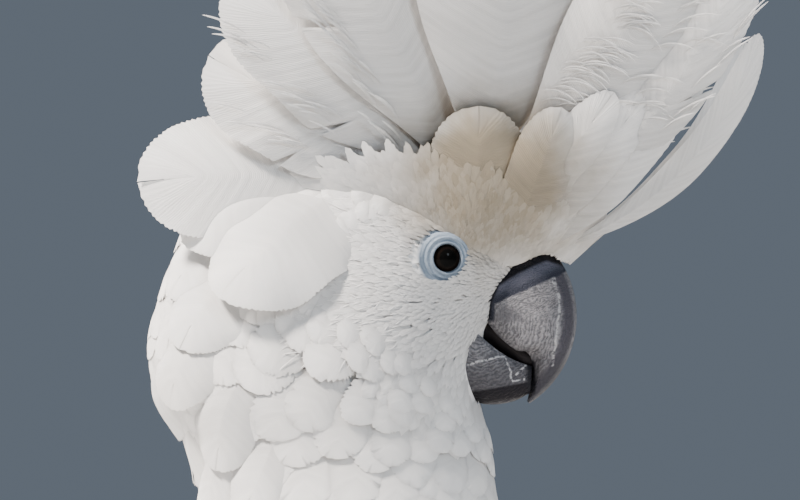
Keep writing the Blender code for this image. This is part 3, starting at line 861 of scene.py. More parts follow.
def crest(material):
    """The raised crest: three rows of long feathers and the coverts over their feet."""
    long_ones = family(long_feather, 60, 6, 96, 2, 0.03)
    neat = long_feather(96, 0, 0.02, 66)
    short = dict(foot=0.2, swell=0.45, tip=0.62, camber=0.12, thick=0.3)
    coverts = family(long_feather, 70, 5, 44, 0, 0.04, **short)
    strands = family(small_feather, 50, 3, 8, 2, 0.0, 0.5, 0.05)
    random = np.random.default_rng(8)
    rows = {"right": (-1, CREST_SIDE), "left": (1, CREST_SIDE), "middle": (0, CREST_MIDDLE)}
    for name, (side, feathers) in rows.items():
        coat = Coat()
        for number, (x, z, y, turn, lean, length, width, bend, curl) in enumerate(feathers):
            stray = random.normal(0, 1, 2) * max(side, 0) * (number < 4)
            length *= 1 + 0.02 * stray[1]
            sheet = arching((x, side * y, z), turn + 1.2 * stray[0], lean, length, bend, curl, -12.0, side)
            bake = body_unwrap(0.4 + 0.1 * number, (0.5 + 0.12 * number) * (side or 0.1))
            kind = neat if number > 6 else long_ones[(number + max(side, 0)) % 6]
            plant(coat, sheet, kind, length, width, bake)
            for which, *barbs in LOOSE_BARBS if side else ():
                if which == number:
                    loosen(coat, sheet, strands, length, width, *barbs, bake, random)
        for number, (x, z, y, *terms) in enumerate(CREST_COVERTS if side else ()):
            turn, lean, length, width, bend, curl = terms
            sheet = arching((x, side * y, z), turn, lean, length, bend, curl, -8.0, side)
            bake = body_unwrap(1.5 + 0.1 * number, (0.5 + 0.07 * number) * side)
            plant(coat, sheet, coverts[number % 5], length, width, bake)
        nodes = [f"crest_{name}_{number + 1}" for number in range(len(feathers))]
        coat.build(f"crest_{name}_feathers", material, *nodes)


def on_profile(x, z, side):
    """The body sheet's (a, b) at a place seen in profile."""
    a, b = np.meshgrid(np.linspace(0.2, 12.0, 700), np.linspace(0.02, math.pi - 0.02, 500), indexing="ij")
    place = body_point(a, b)
    nearest = np.argmin(np.hypot(place[..., 0] - x, place[..., 2] - z))
    return a.flat[nearest], side * b.flat[nearest]


def lay_one(coat, point, unwrap, root, tip, kind, width, low, high):
    """One long feather laid straight from root to tip on a sheet."""
    paths, length = straight(point, [root], [tip], 12)
    bake = unwrap(np.array([root[0]]), np.array([root[1]]))
    ones = np.ones(1)
    drape(coat, point, paths, kind, length, width * ones, low * ones, high * ones, bake)


def lobes(material):
    """Long loose feathers over the back of the head and the nape."""
    loose = dict(foot=0.3, swell=0.45, tip=0.6, camber=0.2, thick=0.4)
    kinds = family(long_feather, 80, 4, 90, 0, 0.06, **loose)
    whole = long_feather(90, 0, 0.04, 88, foot=0.35, swell=0.5, tip=0.5, camber=0.24, thick=0.4)
    coat = Coat()
    for side in SIDES.values():
        for number, (x, z, tip_x, tip_z, width, stand) in enumerate(LOBES):
            root, tip = on_profile(x, z, side), on_profile(tip_x, tip_z, side)
            kind = whole if number >= len(LOBES) - 2 else kinds[number % 4]
            lay_one(coat, body_point, body_unwrap, root, tip, kind, width, -1.8, stand)
    coat.build("nape_lobes", material)


def wings(material):
    """Each folded wing: small coverts, a row of great coverts, secondaries and primaries."""
    small = family(small_feather, 90, 4, 11, 4, 0.1, 0.14, 0.2)
    stiff = dict(foot=0.35, swell=0.3, tip=0.8, camber=0.1, wave=0.02, thick=0.6)
    quills = family(long_feather, 95, 4, 60, 2, 0.03, **stiff)
    rows = []  # width, root, tip and lift of each long feather
    for count, width, lowest, change in WING_ROWS.values():
        for share in np.linspace(0, 1, count):
            rows.append((width, *(np.array(lowest) + np.array(change) * share)))
    for name, side in SIDES.items():
        sheet = wing_sheet(side)
        coat = Coat()

        def wing_unwrap(a, b, side=side):
            across = 0.62 + 0.18 * side + 0.16 * np.clip(np.abs(b), 0, 1)
            return np.stack([across, 0.03 + 0.2 * (a - 11.6) / 9.8], -1)

        for number, (width, root_a, root_b, tip_a, tip_b, lift) in enumerate(rows):
            root, tip = (root_a, side * root_b), (tip_a, side * tip_b)
            lay_one(coat, sheet, wing_unwrap, root, tip, quills[number % 4], width, lift - 0.6, lift)

        def small_gap(place, a, b):
            return 0.36 * mix(11.0, 20.0, smooth(11.8, 14.2, a))

        edges = tuple(sorted((0.02 * side, 0.98 * side)))
        a, b = scatter(sheet, (11.7, 14.2), edges, small_gap, 30000, 5000, 13)
        length = small_gap(None, a, b) / 0.36
        lie = steady_lie((-0.72, 0.0, -0.7))
        low = -1.5 - 2.5 * smooth(12.6, 11.7, a)
        lay(coat, sheet, lie, wing_unwrap, a, b, length, 0.62 * length, low, 0.5, small, 0.06, 14)
        nodes = [f"wing_{name}_{part}" for part in ("coverts", "secondaries", "primaries")]
        coat.build(f"wing_{name}_feathers", material, *nodes)


def tail(material):
    """Twelve tail feathers fanned from the rump, the middle pair on top, and coverts over their feet."""
    x, z, pitch = BODY[TAIL_ROOT, :3]
    tilt = math.radians(pitch)
    back = np.array([math.sin(tilt), 0.0, -math.cos(tilt)])
    up = np.array([-math.cos(tilt), 0.0, -math.sin(tilt)])
    stiff = dict(foot=0.4, swell=0.5, tip=0.82, camber=0.1, wave=0.02, thick=0.6)
    kinds = family(long_feather, 110, 3, 64, 2, 0.03, **stiff)
    coat = Coat()

    def fanned(share, length, width, lift, kind, start=0.0):
        def sheet(t, across, height):
            run = t * length / TAIL_LENGTH + start
            aside = share * mix(*TAIL_HALF_WIDTH, np.clip(run, 0, 1) ** 0.8) + across
            drop = TAIL_ARCH * run * (aside / TAIL_HALF_WIDTH[1]) ** 2
            place = np.array([x, 0.0, z]) + back * (run * TAIL_LENGTH)[:, None]
            return place + up * (height + lift - drop)[:, None] + np.array([0, 1.0, 0]) * aside[:, None]

        plant(coat, sheet, kind, length, width, np.array([0.5 + 0.2 * share, 0.985]))

    for number in range(TAIL_FEATHERS):
        share = (2 * number + 1) / TAIL_FEATHERS - 1
        fanned(share * 0.86, TAIL_LENGTH - 6 * share * share, 13.5, 1.8 - 3.0 * abs(share), kinds[number % 3])
    for lift, length in ((3.6, 46), (-3.2, 52)):
        for number in range(7):
            share = (number - 3) / 3.5
            raised = lift - 1.2 * abs(share)
            fanned(share * 0.8, length - 14 * share * share, 12.0, raised, kinds[number % 3], -0.06)
    coat.build("tail_feathers", material, "tail")


# ---------------------------------------------------------------- skin, bill, eyes, feet


def piece(name, shape, material, slot, *nodes):
    """A piece from a bmesh in millimetres."""
    bmesh.ops.recalc_face_normals(shape, faces=shape.faces[:])
    for vert in shape.verts:
        vert.co = world(vert.co[:])
    mesh = bpy.data.meshes.new(name)
    shape.to_mesh(mesh)
    shape.free()
    mesh.materials.append(material)
    mesh.shade_smooth()
    obj = show(name, mesh)
    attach(obj, "root")
    if nodes:
        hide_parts(*nodes)


def tube(shape, rings, sides, place):
    """Adds a tube whose corners are place(u, angle), closed at both ends."""
    verts = bmesh.ops.create_grid(shape, x_segments=rings, y_segments=sides, size=0.5)["verts"]
    u = np.array([vert.co.x for vert in verts]) + 0.5
    angle = (np.array([vert.co.y for vert in verts]) + 0.5) * math.tau
    for vert, co in zip(verts, place(u, angle)):
        vert.co = co
    bmesh.ops.remove_doubles(shape, verts=verts, dist=1e-4)
    close_rims(shape)


def eye_frame(side):
    """Centre of an eyeball, the way it looks, and the forward direction across that."""
    centre = np.array([-EYE_BACK, side * EYE_ASIDE, 0.0])
    look = np.array([math.sin(EYE_TURN), side * math.cos(EYE_TURN), 0.0])
    forward = np.array([math.cos(EYE_TURN), -side * math.sin(EYE_TURN), 0.0])
    return centre, look, forward


LID_REACH = 8.6
# The lids in section: distance from the eye's axis and height over the eyeball's centre.
LID_SECTION = np.array(
    [
        [3.6, 2.4],
        [3.85, 3.3],
        [4.05, 3.95],
        [4.3, 4.32],
        [4.6, 4.35],
        [4.95, 4.12],
        [5.2, 3.98],
        [5.5, 4.08],
        [5.85, 4.1],
        [6.15, 3.86],
        [6.35, 3.8],
        [6.7, 3.9],
        [7.2, 3.85],
    ]
)


def lids(shape, tree, side):
    """Opens the skin over an eye and rings it with the lids."""
    centre, look, forward = eye_frame(side)
    doomed = []
    for face in shape.faces:
        place = np.array(face.calc_center_median()) - centre
        height = place @ look
        if 0 < height < 9 and np.linalg.norm(place - look * height) < LID_REACH + 0.9:
            doomed.append(face)
    bmesh.ops.delete(shape, geom=doomed, context="FACES")
    hole = [edge for edge in shape.edges if edge.is_boundary]
    verts = bmesh.ops.create_grid(shape, x_segments=34, y_segments=90, size=0.5)["verts"]
    for vert in verts:
        u, angle = vert.co.x + 0.5, (vert.co.y + 0.5) * math.tau
        reach = mix(LID_SECTION[0, 0], LID_REACH, u)
        out = forward * math.cos(angle) + np.array([0, 0, 1.0]) * math.sin(angle)
        # the folds run wider behind the eye than before it
        stretch = 1 + 0.10 * smooth(4.6, 6.6, reach) * max(-math.cos(angle), 0.0)
        spot = centre + out * reach * stretch
        hit = tree.ray_cast(Vector(spot + look * 30), Vector(-look))[0]
        skin_height = (np.array(hit) - centre) @ look if hit else 3.8
        height = np.interp(reach, LID_SECTION[:, 0], LID_SECTION[:, 1])
        # a deeper fold over the front of the upper lid
        turn = (math.degrees(angle) + 180) % 360 - 180
        height -= 0.35 * math.exp(-(((turn - 75) / 38) ** 2)) * math.exp(-(((reach - 5.25) / 0.35) ** 2))
        height += 0.28 * math.exp(-(((turn - 80) / 50) ** 2)) * math.exp(-(((reach - 5.8) / 0.5) ** 2))
        height = mix(height, skin_height, float(smooth(6.3, 8.3, reach)))
        vert.co = spot + look * height
    bmesh.ops.remove_doubles(shape, verts=verts, dist=1e-4)
    known = set(hole)
    rim = [edge for edge in shape.edges if edge.is_boundary and edge not in known]

    def reach_of(edge):
        place = np.array((edge.verts[0].co + edge.verts[1].co) / 2) - centre
        return np.linalg.norm(place - look * (place @ look))

    outer = [edge for edge in rim if reach_of(edge) > 6]
    inner = [edge for edge in rim if reach_of(edge) < 6]
    bmesh.ops.bridge_loops(shape, edges=hole + outer)
    bmesh.ops.holes_fill(shape, edges=inner, sides=0)


def scute(distance, pitch):
    """Overlapping rings of horn along a toe or shank."""
    share = np.mod(distance / pitch, 1.0)
    return smooth(0.0, 0.75, share) * (1 - smooth(0.85, 1.0, share))


def toe_ways(side, heading):
    """The way a toe points and the way across it."""
    turn = -side * math.radians(heading)
    return np.array([math.cos(turn), math.sin(turn), 0.0]), np.array([-math.sin(turn), math.cos(turn), 0.0])


UP = np.array([0.0, 0.0, 1.0])


def leg_shape(side):
    """Thigh, shank and toes of one leg, as overlapping tubes."""
    shape = bmesh.new()
    thigh = thigh_sheet(side)

    def thigh_place(u, angle):
        aside = np.stack([np.cos(angle), side * np.sin(angle), 0 * angle], -1)
        depth = 2.6 * (1 - smooth(0.8, 1.0, u))
        return thigh(np.clip(u, 0.01, 0.99), angle) - aside * depth[..., None]

    tube(shape, 60, 48, thigh_place)
    top = np.array([ANKLE[0], side * ANKLE[1], ANKLE[2] + 3.0])
    foot = np.array([FOOT[0], side * FOOT[1], FLOOR + TOE_HEIGHT])

    def tarsus_place(u, angle):
        ball = smooth(0.45, 0.9, u)
        x, y, _ = np.moveaxis(mix(top, foot, np.minimum(u / 0.9, 1.0)[..., None]), -1, 0)
        height = np.maximum(mix(top[2], FLOOR, u), FLOOR)
        swell = mix(TARSUS_RADIUS * (1.25 - 0.25 * smooth(0.0, 0.3, u)), FOOT_HUB_RADIUS, ball)
        swell = swell * (1 - 0.2 * smooth(0.93, 1.0, u)) + 0.3 * scute(u * 30, 2.6) * (1 - ball)
        return np.stack([x + swell * np.cos(angle), y + swell * np.sin(angle), height], -1)

    tube(shape, 70, 48, tarsus_place)
    hub = np.array([FOOT[0], side * FOOT[1], FLOOR])
    for heading, length, radius in TOES.values():
        along, across = toe_ways(side, heading)

        def toe_place(u, angle, length=length, radius=radius, along=along, across=across):
            distance = mix(2.0, TOE_START + length, u)
            run = np.clip((distance - TOE_START) / length, 0, 1)
            girth = radius * (1 - 0.3 * run) * (1 + 0.09 * np.cos(math.tau * 3 * run))
            girth = girth * (1 - 0.35 * smooth(0.92, 1.0, run))
            girth = girth + 0.28 * scute(distance, 2.3) * smooth(-0.1, 0.5, np.sin(angle))
            height = np.maximum(TOE_HEIGHT + girth * np.sin(angle) * 0.95, 0.0)
            place = hub + along * distance[..., None] + across * (girth * np.cos(angle))[..., None]
            return place + UP * height[..., None]

        tube(shape, 90, 40, toe_place)
    return shape


def solid(name, shape, voxel=None):
    """A helper solid from a bmesh in millimetres, merged into one shell if voxel is given."""
    bmesh.ops.recalc_face_normals(shape, faces=shape.faces[:])
    mesh = bpy.data.meshes.new(name)
    shape.to_mesh(mesh)
    shape.free()
    obj = show(name, mesh)
    if voxel:
        remesh = obj.modifiers.new("merge", "REMESH")
        remesh.mode = "VOXEL"
        remesh.voxel_size = voxel
    return obj


def taken(obj):
    """The evaluated mesh of a helper, which is then removed."""
    graph = bpy.context.evaluated_depsgraph_get()
    mesh = bpy.data.meshes.new_from_object(obj.evaluated_get(graph))
    bpy.data.objects.remove(obj)
    return mesh


def skin(material):
    """One skin over head, neck, trunk and legs, with the lids."""

    def place(u, angle):
        at = mix(0.02, TAIL_ROOT, u**1.15)
        point, _, _, normal = sheet_frame(body_point, at, angle)
        flesh = np.interp(at, WING[:, 0], WING[:, 3]) * wing_cover(at, angle) * (1 - smooth(14.5, 16.5, at))
        return point + normal * (0.6 * flesh - coat_depth(point))[..., None]

    shape = bmesh.new()
    tube(shape, 190, 150, place)
    body = solid("body", shape)
    legs = []
    for name, side in SIDES.items():
        leg = show(name, taken(solid("leg_" + name, leg_shape(side), 0.75)))
        join = body.modifiers.new(name, "BOOLEAN")
        join.operation, join.solver, join.object = "UNION", "EXACT", leg
        legs.append(leg)
    mesh = taken(body)
    for leg in legs:
        bpy.data.objects.remove(leg)
    shape = bmesh.new()
    shape.from_mesh(mesh)
    bpy.data.meshes.remove(mesh)
    tree = BVHTree.FromBMesh(shape)
    for side in SIDES.values():
        lids(shape, tree, side)
    flesh = ["head", "neck", "trunk"]
    for name in SIDES:
        flesh += [f"thigh_{name}", f"tarsus_{name}"] + [f"toe_{name}_{toe}" for toe in TOES]
    piece("skin", shape, material, "plumage", *flesh)


def eyes(material):
    for name, side in SIDES.items():
        centre, look, forward = eye_frame(side)

        def place(u, angle, centre=centre, look=look, forward=forward):
            polar = u * math.pi
            radius = EYE_RADIUS - 0.05 + 0.35 * np.exp(-((polar / 0.55) ** 2))
            out = np.stack([np.cos(angle), np.sin(angle)], -1) @ np.array([forward, UP])
            return centre + (out * np.sin(polar)[:, None] + look * np.cos(polar)[:, None]) * radius[:, None]

        shape = bmesh.new()
        tube(shape, 48, 64, place)
        piece(f"eyeball_{name}", shape, material, "iris", f"eye_{name}")


def keratin(x, z):
    """0 on the soft band at the bill's base, 1 on the horn."""
    above = z + 4.0 - 0.44 * (x - 33.8)
    behind = 13.6 - x
    return 1 - smooth(-0.5, 0.7, np.maximum(above, behind))


def bill(material):
    def upper(u, angle):
        edge_x, edge_z, half = np.moveaxis(spline_by_first(UPPER_EDGE, u)[..., 1:], -1, 0)
        turn = np.radians(mix(*CULMEN_TURN, u))
        ridge_x, ridge_z = CULMEN[0] + CULMEN_RADIUS * np.cos(turn), CULMEN[1] + CULMEN_RADIUS * np.sin(turn)
        height = 0.5 + 0.5 * powered(np.cos(angle), np.where(np.cos(angle) > 0, 1.9, 2.9))
        side = half * powered(np.sin(angle), np.where(np.cos(angle) > 0, 1.9, 2.9))
        palate = smooth(0.5, 0.62, u) * smooth(1.0, 0.9, u) * smooth(-0.75, -0.97, np.cos(angle))
        height = height - 0.12 * palate
        x, z = mix(edge_x, ridge_x, height), mix(edge_z, ridge_z, height)
        return np.stack([x, side * (1 + 0.3 * keratin(x, z) / half), z], -1)

    def lower(u, angle):
        top_x, top_z, keel_x, keel_z, half = np.moveaxis(spline_by_first(LOWER_BILL, u)[..., 1:], -1, 0)
        power = np.where(np.cos(angle) > 0, 3.2, 2.0)
        height = 0.5 + 0.5 * powered(np.cos(angle), power)
        sideways = powered(np.sin(angle), power)
        hollow = np.where(np.cos(angle) > 0.3, 2.2 * smooth(0.9, 0.2, np.abs(sideways)), 0.0)
        height = height * (1 - hollow / np.hypot(top_x - keel_x, top_z - keel_z))
        return np.stack([mix(keel_x, top_x, height), half * sideways, mix(keel_z, top_z, height)], -1)

    for name, place, rings in (("upper_bill", upper, 110), ("lower_bill", lower, 70)):
        shape = bmesh.new()
        tube(shape, rings, 96, place)
        piece(f"{name}_horn", shape, material, "horn", name)


def tongue(material):
    """The blunt dark tongue that closes the gap between the two halves of the bill, near-black also as
    painted shade in that gap.
    """

    def place(u, angle):
        along = mix(-9.0, 11.5, u)
        girth = np.sqrt(np.maximum(1 - np.abs(2 * u - 1) ** 5, 0.0))
        x = 17.0 + along * math.cos(TONGUE_PITCH) - 3.4 * girth * np.cos(angle) * math.sin(TONGUE_PITCH)
        z = -24.0 + along * math.sin(TONGUE_PITCH) + 3.4 * girth * np.cos(angle) * math.cos(TONGUE_PITCH)
        return np.stack([x, 5.5 * girth * np.sin(angle), z], -1)

    shape = bmesh.new()
    tube(shape, 40, 40, place)
    piece("tongue", shape, material, "horn")


def claws(material):
    for name, side in SIDES.items():
        shape = bmesh.new()
        hub = np.array([FOOT[0], side * FOOT[1], FLOOR])
        for heading, length, _ in TOES.values():
            along, across = toe_ways(side, heading)

            def place(u, angle, length=length, along=along, across=across):
                bend = CLAW_BEND * u
                girth = mix(*CLAW_RADIUS, u**1.2)
                radial = CLAW_BEND_RADIUS + girth * np.sin(angle)
                distance = TOE_START + length - 0.6 * (1 - u) + radial * np.sin(bend)
                arc = 0.35 * np.sin(math.pi * u) - 0.28 * (1 - np.cos(bend))
                height = TOE_HEIGHT - 0.3 + CLAW_BEND_RADIUS * arc
                height = height + girth * np.sin(angle) * np.cos(bend * 0.6)
                place = hub + along * distance[..., None] + across * (girth * 0.8 * np.cos(angle))[..., None]
                return place + UP * height[..., None]

            tube(shape, 26, 20, place)
        piece(f"claws_{name}", shape, material, "horn", *[f"claw_{name}_{toe}" for toe in TOES])


# ---------------------------------------------------------------- materials


class Tree:
    """Builds a node tree, one call a node."""

    def __init__(self, tree):
        self.tree = tree

    def node(self, kind, *values, **settings):
        node = self.tree.nodes.new("ShaderNode" + kind)
        for key, value in settings.items():
            setattr(node, key, value)
        for number, value in enumerate(values):
            self.feed(node.inputs[number], value)
        return node

    def feed(self, socket, value):
        if isinstance(value, bpy.types.NodeSocket):
            self.tree.links.new(value, socket)
        elif value is not None:
            socket.default_value = value

    def math(self, operation, first, second=None, third=None):
        return self.node("Math", first, second, third, operation=operation).outputs[0]

    def vector(self, operation, first, second=None):
        return self.node("VectorMath", first, second, operation=operation)

    def ramp(self, value, low, high, start=0.0, end=1.0):
        return self.node("MapRange", value, low, high, start, end, interpolation_type="SMOOTHSTEP").outputs[0]

    def blend(self, share, first, second):
        node = self.tree.nodes.new("ShaderNodeMix")
        node.data_type = "RGBA"
        for number, value in ((0, share), (6, first), (7, second)):
            self.feed(node.inputs[number], (*value, 1.0) if isinstance(value, tuple) else value)
        return node.outputs[2]

    def noise(self, place, scale, detail=2.0, roughness=0.5):
        node = self.node("TexNoise")
        for key, value in (("Vector", place), ("Scale", scale), ("Detail", detail), ("Roughness", roughness)):
            self.feed(node.inputs[key], value)
        return node.outputs["Fac"]

    def place(self):
        return self.node("TexCoord").outputs["Object"]

    def parts(self, vector):
        node = self.node("SeparateXYZ", vector)
        return node.outputs[0], node.outputs[1], node.outputs[2]

    def joined(self, x, y=None, z=None):
        return self.node("CombineXYZ", x, y, z).outputs[0]

    def stroke(self, place, points):
        """Distance from a line through points in the plane."""
        nearest = None
        for start, end in zip(points, points[1:]):
            along = Vector((*end, 0.0)) - Vector((*start, 0.0))
            offset = self.vector("SUBTRACT", place, (*start, 0.0)).outputs[0]
            product = self.vector("DOT_PRODUCT", offset, along).outputs["Value"]
            share = self.node("Clamp", self.math("DIVIDE", product, along.length_squared)).outputs[0]
            foot = self.vector("SCALE", along)
            self.feed(foot.inputs["Scale"], share)
            distance = self.length(self.vector("SUBTRACT", offset, foot.outputs[0]).outputs[0])
            nearest = distance if nearest is None else self.math("MINIMUM", nearest, distance)
        return nearest

    def length(self, vector):
        return self.vector("LENGTH", vector).outputs["Value"]


def new_group(name, outputs):
    group = bpy.data.node_groups.new(name, "ShaderNodeTree")
    for label, kind in outputs:
        group.interface.new_socket(name=label, in_out="OUTPUT", socket_type=kind)
    return group, group.nodes.new("NodeGroupOutput")


def plumage_group():
    """White with a warm yellowish tint at the crest's foot, darkened there as painted shade, and faint cool
    patches.
    """
    group, out = new_group("plumage_look", [("Colour", "NodeSocketColor")])
    t = Tree(group)
    place = t.place()
    x, _, z = t.parts(place)
    foot = world((13.0, 0.0, 22.0))
    across = t.math("MULTIPLY", t.math("SUBTRACT", x, foot[0]), 1 / 0.030)
    up = t.math("MULTIPLY", t.math("SUBTRACT", z, foot[2]), 1 / 0.026)
    far = t.math("MULTIPLY_ADD", t.noise(place, 90.0, 3.0), 0.7, t.length(t.joined(across, up)))
    # painted shade and real tint: towards the crest's foot the white turns yellowish and much darker, the
    # darkness standing for the shade under the crest
    foot_tint_and_shade = t.ramp(far, 1.75, 0.75)
    white = t.blend(t.noise(place, 45.0, 3.0), (0.83, 0.83, 0.84), (0.89, 0.87, 0.84))
    colour = t.blend(t.math("MULTIPLY", foot_tint_and_shade, 0.95), white, (0.30, 0.24, 0.155))
    group.links.new(colour, out.inputs["Colour"])
    return group


def eye_group():
    """Distance from the axis of the nearer eye."""
    group, out = new_group("eye_reach", [("Reach", "NodeSocketFloat")])
    t = Tree(group)
    x, y, z = t.parts(t.place())
    centre, look, _ = eye_frame(1)
    offset = t.vector("SUBTRACT", t.joined(x, t.math("ABSOLUTE", y), z), tuple(world(centre))).outputs[0]
    reach = t.length(t.vector("CROSS_PRODUCT", offset, tuple(look)).outputs[0])
    group.links.new(reach, out.inputs["Reach"])
    return group


def shader_of(name, **constants):
    material = bpy.data.materials.new(name)
    material.use_nodes = True
    shader = material.node_tree.nodes["Principled BSDF"]
    for key, value in constants.items():
        shader.inputs[key.replace("_", " ")].default_value = value
    return material, Tree(material.node_tree), shader


def use(t, group):
    node = t.node("Group")
    node.node_tree = group
    return node.outputs[0]


def bump(t, shader, height, distance, strength):
    node = t.node("Bump")
    node.inputs["Strength"].default_value = strength
    node.inputs["Distance"].default_value = distance
    t.feed(node.inputs["Height"], height)
    t.feed(shader.inputs["Normal"], node.outputs["Normal"])


def plumage_material(name, look, barbs, clumps, root):
    """White feathers: barbs is how strongly single barbs show, clumps how strongly barbs that cling together
    do, in bump and in painted shade, and root how light the painted shade leaves them towards the root."""
    constants = dict(Specular_IOR_Level=0.25, Subsurface_Weight=0.25, Subsurface_Scale=0.001)
    material, t, shader = shader_of(name, **constants)
    shader.inputs["Subsurface Radius"].default_value = (1.0, 0.95, 0.9)
    vane = t.node("UVMap", uv_map="vane").outputs[0]
    across, barb, _ = t.parts(vane)
    wobble = t.math("MULTIPLY_ADD", t.noise(vane, 260.0), 0.0011, barb)
    strand = t.math("SINE", t.math("MULTIPLY", wobble, math.tau / 0.00055))
    clump = t.noise(t.joined(t.math("MULTIPLY", across, 40.0), t.math("MULTIPLY", barb, 520.0)), 1.0, 3.0)
    share, tint, _ = t.parts(t.node("UVMap", uv_map="lie").outputs[0])
    # painted shade: each feather darkens towards its root, where the feathers over it shade it
    root_shade = t.ramp(share, 0.3, 0.95, root, 1.0)
    # painted shade in streaks along the clinging barbs, then a faint random tone for each feather
    shade_and_tone = t.math("MULTIPLY", root_shade, t.ramp(clump, 0.25, 0.7, 1 - 0.14 * clumps, 1.0))
    shade_and_tone = t.math("MULTIPLY", shade_and_tone, t.ramp(tint, 0.0, 1.0, 0.94, 1.0))
    scaled = t.vector("SCALE", t.blend(t.math("MULTIPLY", tint, 0.12), use(t, look), (0.88, 0.82, 0.76)))
    t.feed(scaled.inputs["Scale"], shade_and_tone)
    t.feed(shader.inputs["Base Color"], scaled.outputs[0])
    t.feed(shader.inputs["Roughness"], t.ramp(clump, 0.2, 0.8, 0.5, 0.72))
    bump(t, shader, t.math("MULTIPLY_ADD", strand, barbs, clump), 0.0003, 0.7 * clumps)
    return material


def skin_material(look, eye_reach):
    """The plumage's own white under the coat, bare bluish skin round the eyes, grey scales on the feet."""
    material, t, shader = shader_of("bare_skin", Specular_IOR_Level=0.35)
    place = t.place()
    reach = t.math("MULTIPLY_ADD", t.noise(place, 500.0, 3.0), 0.0004, use(t, eye_reach))
    ring = t.ramp(reach, 0.0102, 0.0082)
    fold = t.math("SINE", t.math("MULTIPLY", t.math("ADD", reach, -0.0042), math.tau / 0.0011))
    bare = t.blend(t.noise(place, 700.0), (0.17, 0.215, 0.275), (0.26, 0.315, 0.38))
    # painted shade: the bare skin darkens in the concentric folds of the lids
    bare = t.blend(t.math("MULTIPLY", t.ramp(fold, -0.3, -1.0), 0.5), bare, (0.12, 0.16, 0.22))
    bare = t.blend(t.math("MULTIPLY", t.ramp(reach, 0.0047, 0.0042), 0.75), bare, (0.09, 0.11, 0.14))
    colour = t.blend(ring, use(t, look), bare)
    leg = t.ramp(t.parts(place)[2], 0.034, 0.026)
    scales = t.node("TexVoronoi", place, feature="DISTANCE_TO_EDGE")
    scales.inputs["Scale"].default_value = 620.0
    scale_top = t.ramp(scales.outputs[0], 0.0, 0.12)
    horny = t.blend(t.noise(place, 160.0, 4.0), (0.10, 0.10, 0.105), (0.21, 0.205, 0.20))
    horny = t.blend(scale_top, (0.33, 0.32, 0.31), horny)
    t.feed(shader.inputs["Base Color"], t.blend(leg, colour, horny))
    t.feed(shader.inputs["Roughness"], t.ramp(t.noise(place, 300.0), 0.3, 0.7, 0.45, 0.65))
    wrinkle = t.math("MULTIPLY", t.noise(place, 1400.0, 3.0), ring)
    bump(t, shader, t.math("MULTIPLY_ADD", scale_top, leg, wrinkle), 0.00025, 0.7)
    return material


# Pale flaking marks on the bill in profile, and the dark rim where the feathering meets its base.
UPPER_MARK = [(30.5, -5.0), (32.5, -12.3), (32.1, -20.3), (30.5, -31.0)]
LOWER_MARKS = [
    [(10.8, -19.6), (11.8, -23.0), (15.1, -26.3), (18.4, -28.3), (23.1, -31.0), (20.1, -33.6)],
    [(6.8, -30.3), (10.4, -29.6), (17.1, -28.3), (18.4, -32.3), (19.1, -35.3), (22.6, -35.0)],
]
CERE_RIM = [(11.4, -16.5), (11.6, -12.4), (14.2, -6.8), (19.8, -3.3), (25.4, -0.6), (28.9, 0.7), (33.5, -0.8)]


